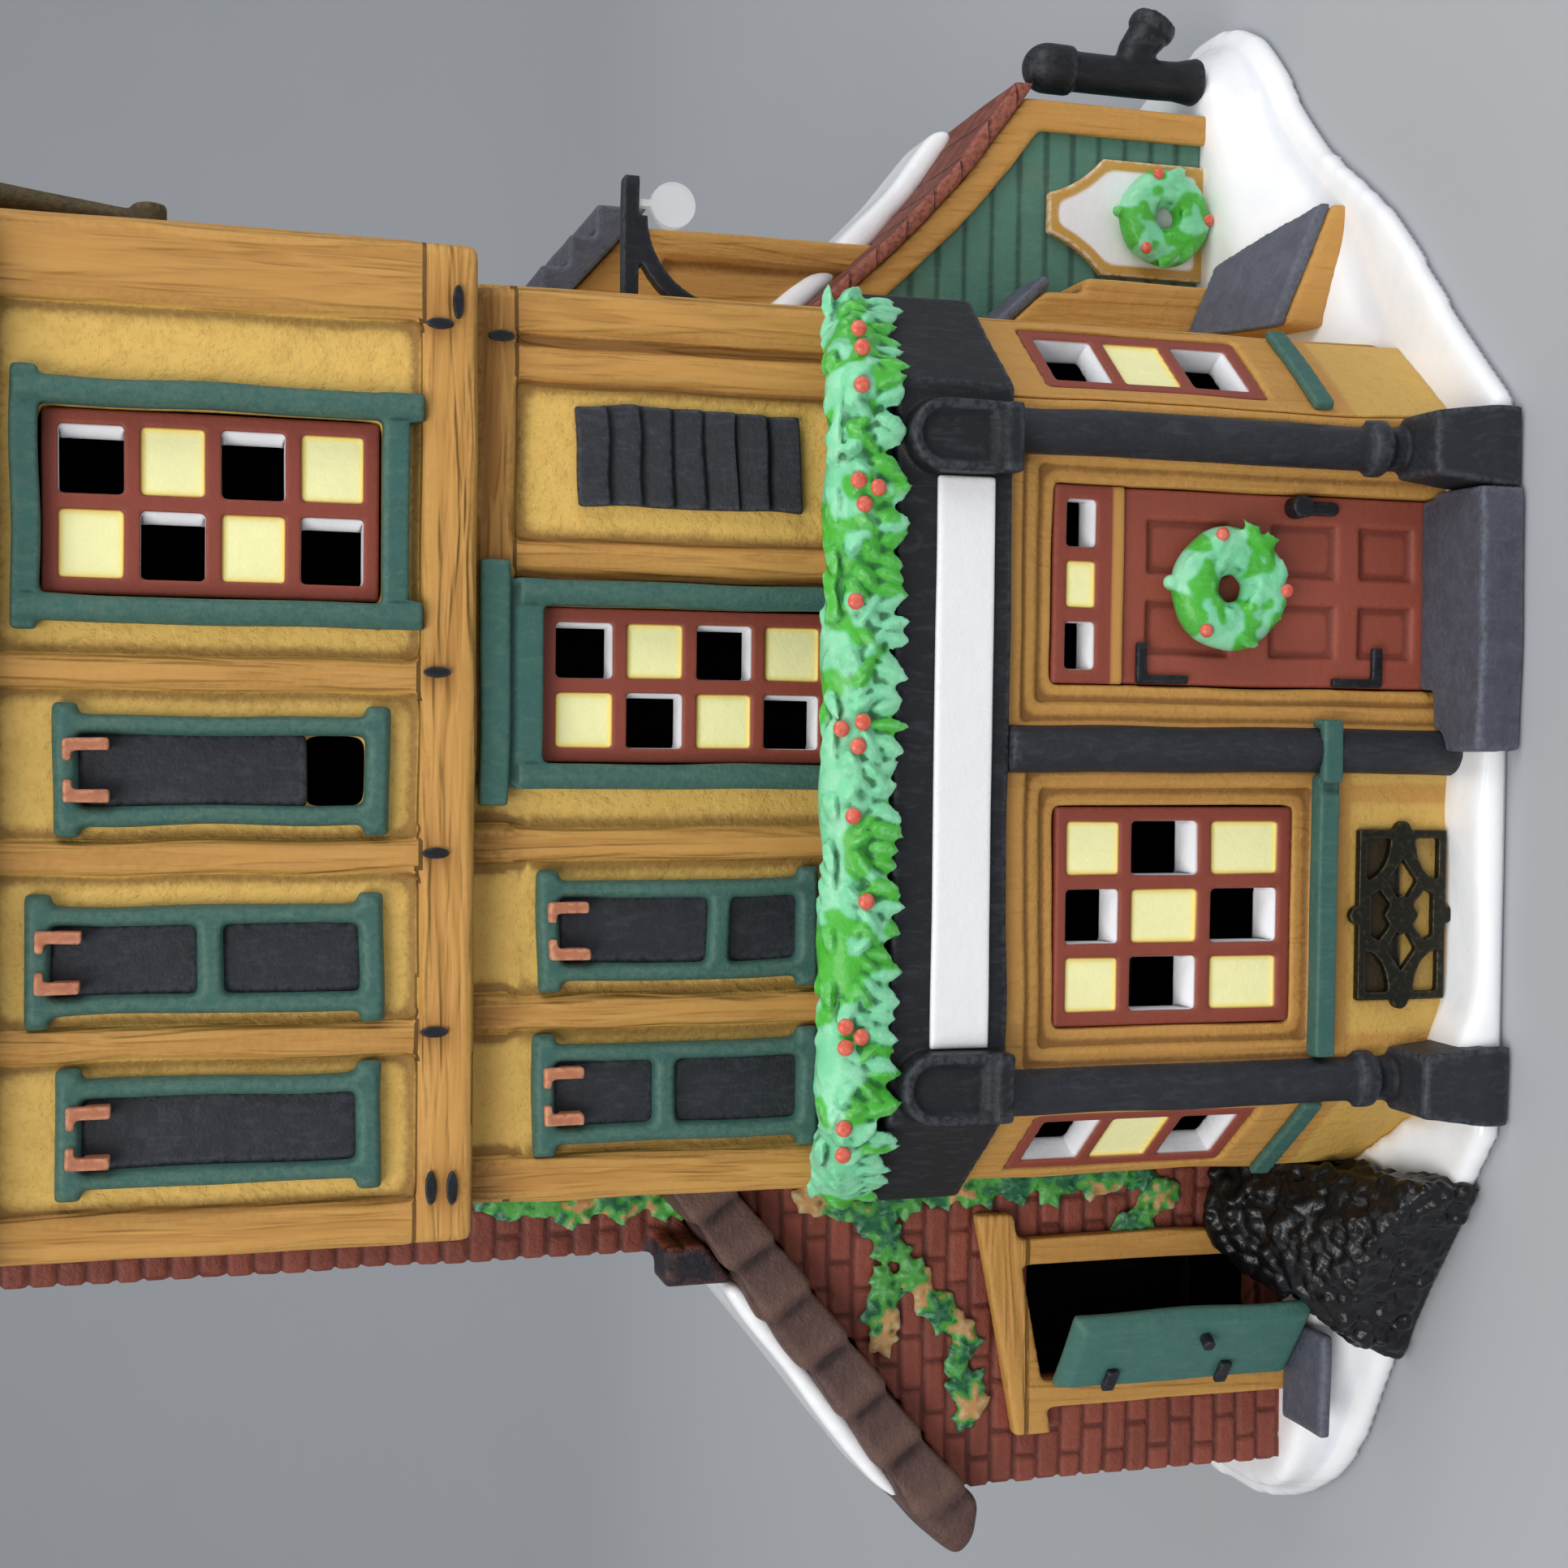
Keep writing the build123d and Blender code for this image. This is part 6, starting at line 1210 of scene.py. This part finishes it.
class HOUSE_OT_brickwork(HouseOperator, bpy.types.Operator):
    """Brick lean-to and the chimney stack with its dark slab"""
    bl_idname = "house.brickwork"
    bl_label = "Brickwork"

    def execute(self, context):
        paint = paints()
        room = ((-82.2, -19.2, 2), (-40, 5.2, 80))
        joint_depth, stack_shade = 0.34, 0.75
        slab_end, slab_top = (-55.4, -55.1), (85.4, 86)
        for node, voxel in (("lean_to_front", 0.36), ("lean_to_back", 0.5), ("chimney", 0.4)):
            skin = cast(node, voxel, melt=2)
            normal = skin.normals()
            joint, shade = bricks(skin)
            x, y, z = skin.points.T
            colour = blend(paint.brick, paint.joint, joint * 0.6) * (1 + 0.22 * shade)[:, None]
            if node == "chimney":
                slab = (1 - ramp(x, *slab_end)) * (1 - ramp(z, *slab_top))
                colour = blend(colour, np.array(paint.charcoal) * (0.7, 0.85, 1.05), slab)
                # Painted shade: the whole stack is darkened, as it stands in shade
                colour *= stack_shade
                joint = joint * (1 - slab)
            else:
                # Painted shade: the lean-to's inner faces take the dark inside paint
                inward = ramp(normal[:, 1], 0.2, 0.5) * (y < 0) + ramp(normal[:, 0], 0.2, 0.5)
                inward = inward + ramp(-normal[:, 1], 0.2, 0.5) * (y > 0)
                unlit = within(skin.points, *room) * np.clip(inward, 0, 1)
                colour = blend(colour, paint.inside, unlit)
                joint = joint * (1 - unlit)
            skin.points -= normal * (joint_depth * joint)[:, None]
            finish(skin, node, colour, "brick_paint", "brick")
        return {"FINISHED"}


class HOUSE_OT_roofs(HouseOperator, bpy.types.Operator):
    """Main, lean-to, wing and shed roofs"""
    bl_idname = "house.roofs"
    bl_label = "Roofs"

    def execute(self, context):
        paint = paints()
        self.lean_to()
        plain_cast("roof_front", 0.7, paint.tile, "main_tiles", "tile", 4)
        plain_cast("roof_rear", 0.7, paint.tile, "main_tiles", "tile", 4)
        plain_cast("wing_roof", 0.36, paint.slate, "slate_paint", "slate", 4, melt=3)
        plain_cast("shed_roof", 0.36, paint.shed_tile, "shed_tiles", "tile", 4, melt=3)
        return {"FINISHED"}

    def lean_to(self):
        """The lean-to's roof: lapped rows of tiles, and an eave that is rounded off and thick."""
        paint = paints()
        skin = cast("lean_to_roof", 0.4, 4, melt=8)
        x, y, z = skin.points.T
        eave = box_mm("lean_to_roof")[0][0]
        row, width, head, wall, drop, run = 7.3, 6.8, 86.6, -46.5, 0.61, 0.792
        fall = ((head - z) * drop - (x - wall) * run) / row + 0.1 * field(skin.points, 9.0, 8)
        lap = fall - np.floor(fall)
        bond = y / width + 0.5 * np.floor(fall)
        seam = np.abs(bond - np.floor(bond) - 0.5) * width
        tiles = ramp(x, eave + 3, eave + 6)
        rise = lap * (1 - ramp(lap, 0.82, 1.0)) * tiles
        normal = skin.normals()
        groove = (1 - ramp(seam, 0.1, 0.6)) * ramp(normal[:, 2], 0.3, 0.6) * tiles
        skin.points += normal * (0.75 * rise - 0.35 - 0.3 * groove + 0.35 * field(skin.points, 5.0, 8))[:, None]
        skin.soften(0, 4)
        tip = 1 - ramp(x, eave + 2, eave + 9)
        for _ in range(30):
            skin.points += (0.5 * tip)[:, None] * (skin.mean(skin.points) - skin.points)
        skin.points += skin.normals() * (0.9 * tip)[:, None]
        # Painted shade in the gaps under the tiles' lips and in the grooves between tiles
        gap = (1 - ramp(lap, 0.02, 0.25)) * tiles
        colour = blend(paint.tile, np.array(paint.tile) * 0.6, np.maximum(gap, groove * 0.8))
        # Painted highlight on the tiles' rising lips
        colour = blend(colour, paint.tile_edge, 0.35 * ramp(rise, 0.35, 0.75))
        finish(skin, "lean_to_roof", colour, "tile_paint", "tile")


class HOUSE_OT_hatch(HouseOperator, bpy.types.Operator):
    """Coal hatch, slates, coal and ivy"""
    bl_idname = "house.hatch"
    bl_label = "Hatch, coal and ivy"

    def execute(self, context):
        paint = paints()
        lintel = box_mm("hatch_frame")[1][2] - 6.5
        taller = 2.6
        wooden("hatch_frame", 0.3, lambda points: ramp(points[:, 2], lintel, lintel + 0.4))
        skin = cast("hatch_door", 0.26, 4, melt=5)
        low, high = box_mm("hatch_door")
        skin.points[:, 2] += taller * ramp(skin.points[:, 2], (low[2] + high[2]) / 2, high[2])
        finish(skin, "hatch_door", np.array(paint.green) * 1.3, "green_paint", "green")
        plain_cast("slates", 0.34, paint.slate, "slate_paint", "slate", 4, melt=3)
        self.coal()
        self.ivy()
        return {"FINISHED"}

    def coal(self):
        """Lumps over the heap's surface."""
        rng = random.Random(casting().seed + 1)
        heap = cast("coal_heap", 0.7, 4)
        normal = heap.normals()
        form = node_mesh("coal_heap")
        most, sunk = 480, 0.3
        spots = [index for index in range(len(heap.points)) if normal[index][2] > -0.1]
        for index in rng.sample(spots, min(most, len(spots))):
            spot = Vector(heap.points[index]) - Vector(normal[index]) * sunk
            made = bmesh.ops.create_icosphere(form, subdivisions=2, radius=1.0)
            size = rng.uniform(0.9, 1.3)
            turn = Matrix.Rotation(rng.uniform(0, math.tau), 4, Vector((rng.uniform(-1, 1), rng.uniform(-1, 1), 1)))
            scale = Matrix.Diagonal((size * rng.uniform(0.8, 1.3), size, size * rng.uniform(0.6, 0.95), 1))
            bmesh.ops.transform(form, matrix=Matrix.Scale(MM, 4) @ Matrix.Translation(spot) @ turn @ scale,
                                verts=made["verts"])
        skin = skinned(form, 0.28)
        skin.soften(1, 1)
        skin.write(paints().coal)
        place("coal_lumps", skin.mesh, "coal_glaze", "coal", ("coal_heap",))

    def ivy(self):
        """Ivy leaves along their strands."""
        rng = random.Random(casting().seed + 2)
        form = bmesh.new()
        marks = []
        dark, light, dry = 0.0, 1.0, 2.0
        for depth, stops in IVY_STRANDS:
            route = [Vector((x, depth, z)) for x, z in stops]
            for start, end in zip(route, route[1:]):
                count = max(2, int((end - start).length))
                for index in range(count):
                    spot = start.lerp(end, (index + rng.random() * 0.6) / count)
                    spot += Vector((rng.uniform(-1.0, 1.0), rng.uniform(-0.4, 0.2), rng.uniform(-1.0, 1.0)))
                    turn = rng.uniform(0, math.tau)
                    share = rng.choice((dark, dark, dark, light, light, light, dry, dry))
                    size = rng.uniform(2.2, 3.1) * (1.1 if share == dry else 1.0)
                    for lobe, reach in IVY_LOBES:
                        way = Vector((math.cos(turn + lobe), -0.08, math.sin(turn + lobe)))
                        samples = leaf(form, spot, way, Vector((0, -1, 0)), size * reach, size * 0.72, 0.8)
                        marks += [(point, share, 0.1) for point in samples]
        skin = skinned(form, 0.26)
        skin.soften(1, 3)
        leafy(skin, marks, paints().ivy, paints().ivy_light, 0.2, paints().ivy_tan)
        place("ivy_leaves", skin.mesh, "leaf_paint", "foliage", ("ivy",))


class HOUSE_OT_yard(HouseOperator, bpy.types.Operator):
    """Shed with its board, wing, buttress and yard pump"""
    bl_idname = "house.yard"
    bl_label = "Yard"

    def execute(self, context):
        paint = paints()
        foot, board = 9.5, 3.6
        skin = cast("shed_walls", 0.3, 3, melt=1)
        lap = np.abs((skin.points[:, 2] - foot + board / 2) % board - board / 2) + 0.15 * field(skin.points, 4.0, 41)
        front = ramp(-skin.normals()[:, 1], 0.4, 0.8)
        colour = blend(paint.plank, paint.plank_worn, 0.5 * ramp(field(skin.points, 8.0, 42), 0.2, 0.7))
        colour = blend(colour, paint.plank_joint, (1 - ramp(lap, 0.15, 0.6)) * front * 0.7)
        finish(skin, "shed_walls", colour, "green_paint", "green")
        wooden("shed_trim", 0.32)
        wooden("wing_walls", 0.4)
        wooden("side_buttress", 0.4, grain=0.35)
        skin = cast("shed_sign", 0.26, 4, wobble_share=0.5)
        rim = skin.blur(1 - ramp(-skin.normals()[:, 1], 0.5, 0.9), 26)
        colour = blend(paint.board, paint.board_rim, ramp(rim, 0.035, 0.09))
        finish(skin, "shed_sign", colour, "board_paint", "board")
        skin = cast("yard_pump", 0.32, 4, melt=3)
        skin.points += skin.normals() * (0.35 * ramp(skin.points[:, 0], 89.4, 91.0))[:, None]
        finish(skin, "yard_pump", paint.black, "black_paint", "black")
        return {"FINISHED"}


class HOUSE_OT_lamps(HouseOperator, bpy.types.Operator):
    """Wall bracket with its lamp, pole, and the lamp in the rear wall"""
    bl_idname = "house.lamps"
    bl_label = "Lamps"

    def execute(self, context):
        paint = paints()
        plain_cast("lamp_bracket", 0.24, paint.black, "black_paint", "black", 4)
        plain_cast("wall_pole", 0.28, paint.pole, "pole_paint", "pole", 5)
        for node, material in (("lantern_glass", "clear_plastic"), ("lamp_holder", "lamp_plastic"),
                               ("bulb_cap", "brass_metal"), ("bulb_glass", "bulb_glass")):
            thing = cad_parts[node]
            thing.data.materials.clear()
            thing.data.materials.append(bpy.data.materials[material])
        return {"FINISHED"}


class HOUSE_OT_stage(HouseOperator, bpy.types.Operator):
    """Floor, soft light and camera"""
    bl_idname = "house.stage"
    bl_label = "Stage"

    def execute(self, context):
        scene = context.scene
        stage = scene.house_stage
        self.floor(stage)
        world = bpy.data.worlds.new("soft_fill")
        world.use_nodes = True
        fill = world.node_tree.nodes["Background"]
        fill.inputs["Color"].default_value = (0.94, 0.97, 1.0, 1.0)
        fill.inputs["Strength"].default_value = stage.sky
        scene.world = world
        for name, at, height, size, share, colour in (
                ("key", (-0.28, -0.62, 0.62), 0.09, 0.55, 1.0, (1.0, 0.98, 0.95)),
                ("side", (0.62, -0.30, 0.40), 0.09, 0.5, 0.55, (0.97, 0.98, 1.0)),
                ("top", (0.0, 0.05, 0.85), 0.05, 0.7, 0.4, (1.0, 1.0, 1.0))):
            self.light(name, at, (0, 0, height), size, stage.power * share, colour)
        self.camera(scene, stage)
        scene.view_settings.view_transform = "Standard"
        return {"FINISHED"}

    def floor(self, stage):
        """One pale sheet that curves up behind the house."""
        half, bend_at, bend, steps = 1.8, 0.45, 0.5, 12
        turns = [math.radians(90 / steps * step) for step in range(1, steps + 1)]
        profile = [(-1.6, 0.0), (bend_at, 0.0)]
        profile += [(bend_at + bend * math.sin(turn), bend - bend * math.cos(turn)) for turn in turns]
        profile += [(bend_at + bend, 2.0)]
        verts = [(x, y, z) for y, z in profile for x in (-half, half)]
        faces = [(2 * i, 2 * i + 1, 2 * i + 3, 2 * i + 2) for i in range(len(profile) - 1)]
        mesh = bpy.data.meshes.new("floor")
        mesh.from_pydata(verts, [], faces)
        mesh.shade_smooth()
        shader = Shader("floor_paper")
        shader.put("Base Color", shader.mix(stage.floor, tuple(v * 0.97 for v in stage.floor), shader.noise(0.02, 2.0)))
        shader.put("Roughness", 0.85)
        mesh.materials.append(shader.material)
        sheet = bpy.data.objects.new("floor", mesh)
        bpy.context.collection.objects.link(sheet)
        sheet.location.z = -0.0004  # just clear of the base

    def light(self, name, at, aim, size, power, colour):
        """A round soft light that looks at its aim."""
        lamp = bpy.data.lights.new(name, "AREA")
        lamp.shape = "DISK"
        lamp.size = size
        lamp.energy = power
        lamp.color = colour
        thing = bpy.data.objects.new(name, lamp)
        bpy.context.collection.objects.link(thing)
        thing.location = at
        thing.rotation_euler = (Vector(aim) - Vector(at)).to_track_quat("-Z", "Y").to_euler()

    def camera(self, scene, stage):
        """The photograph's view, with its quarter turn."""
        forward = Vector((math.sin(stage.yaw) * math.cos(stage.pitch), math.cos(stage.yaw) * math.cos(stage.pitch),
                          -math.sin(stage.pitch)))
        flat = Vector((math.cos(stage.yaw), -math.sin(stage.yaw), 0))
        rise = flat.cross(forward)
        right = flat * math.cos(stage.roll) + rise * math.sin(stage.roll)
        up = rise * math.cos(stage.roll) - flat * math.sin(stage.roll)
        lens = bpy.data.cameras.new("view")
        lens.lens = stage.lens
        lens.sensor_width = 36
        lens.clip_start = 0.01
        eye = bpy.data.objects.new("view", lens)
        bpy.context.collection.objects.link(eye)
        turn = Matrix((-up, right, -forward)).transposed().to_4x4()
        eye.matrix_world = Matrix.Translation(Vector(stage.place)) @ turn
        scene.camera = eye


OPERATORS = (HOUSE_OT_materials, HOUSE_OT_snow, HOUSE_OT_walls, HOUSE_OT_shop, HOUSE_OT_sashes, HOUSE_OT_joinery,
             HOUSE_OT_garland, HOUSE_OT_brickwork, HOUSE_OT_roofs, HOUSE_OT_hatch, HOUSE_OT_yard, HOUSE_OT_lamps,
             HOUSE_OT_stage)


class HOUSE_PT_panel(bpy.types.Panel):
    """Settings of the house and the steps that dress it"""
    bl_idname = "HOUSE_PT_panel"
    bl_label = "Village house"
    bl_space_type = "VIEW_3D"
    bl_region_type = "UI"
    bl_category = "Village house"

    def draw(self, context):
        layout = self.layout
        for name, group in GROUPS.items():
            box = layout.box()
            box.label(text=name.split("_")[1].capitalize())
            for key in group.__annotations__:
                box.prop(getattr(context.scene, name), key)
        for operator in OPERATORS:
            layout.operator(operator.bl_idname)


CLASSES = (*GROUPS.values(), *OPERATORS, HOUSE_PT_panel)


def register():
    """Register the classes and hang the settings on the scene."""
    for entry in CLASSES:
        bpy.utils.register_class(entry)
    for name, group in GROUPS.items():
        setattr(bpy.types.Scene, name, bpy.props.PointerProperty(type=group))


def unregister():
    """Take the settings and the classes away again."""
    for name in GROUPS:
        delattr(bpy.types.Scene, name)
    for entry in reversed(CLASSES):
        bpy.utils.unregister_class(entry)


def main():
    """Dress the frame step by step."""
    register()
    bpy.ops.house.materials()
    bpy.ops.house.snow()
    bpy.ops.house.walls()
    bpy.ops.house.shop()
    bpy.ops.house.sashes()
    bpy.ops.house.joinery()
    bpy.ops.house.garland()
    bpy.ops.house.brickwork()
    bpy.ops.house.roofs()
    bpy.ops.house.hatch()
    bpy.ops.house.yard()
    bpy.ops.house.lamps()
    bpy.ops.house.stage()


if __name__ == "__main__":
    main()
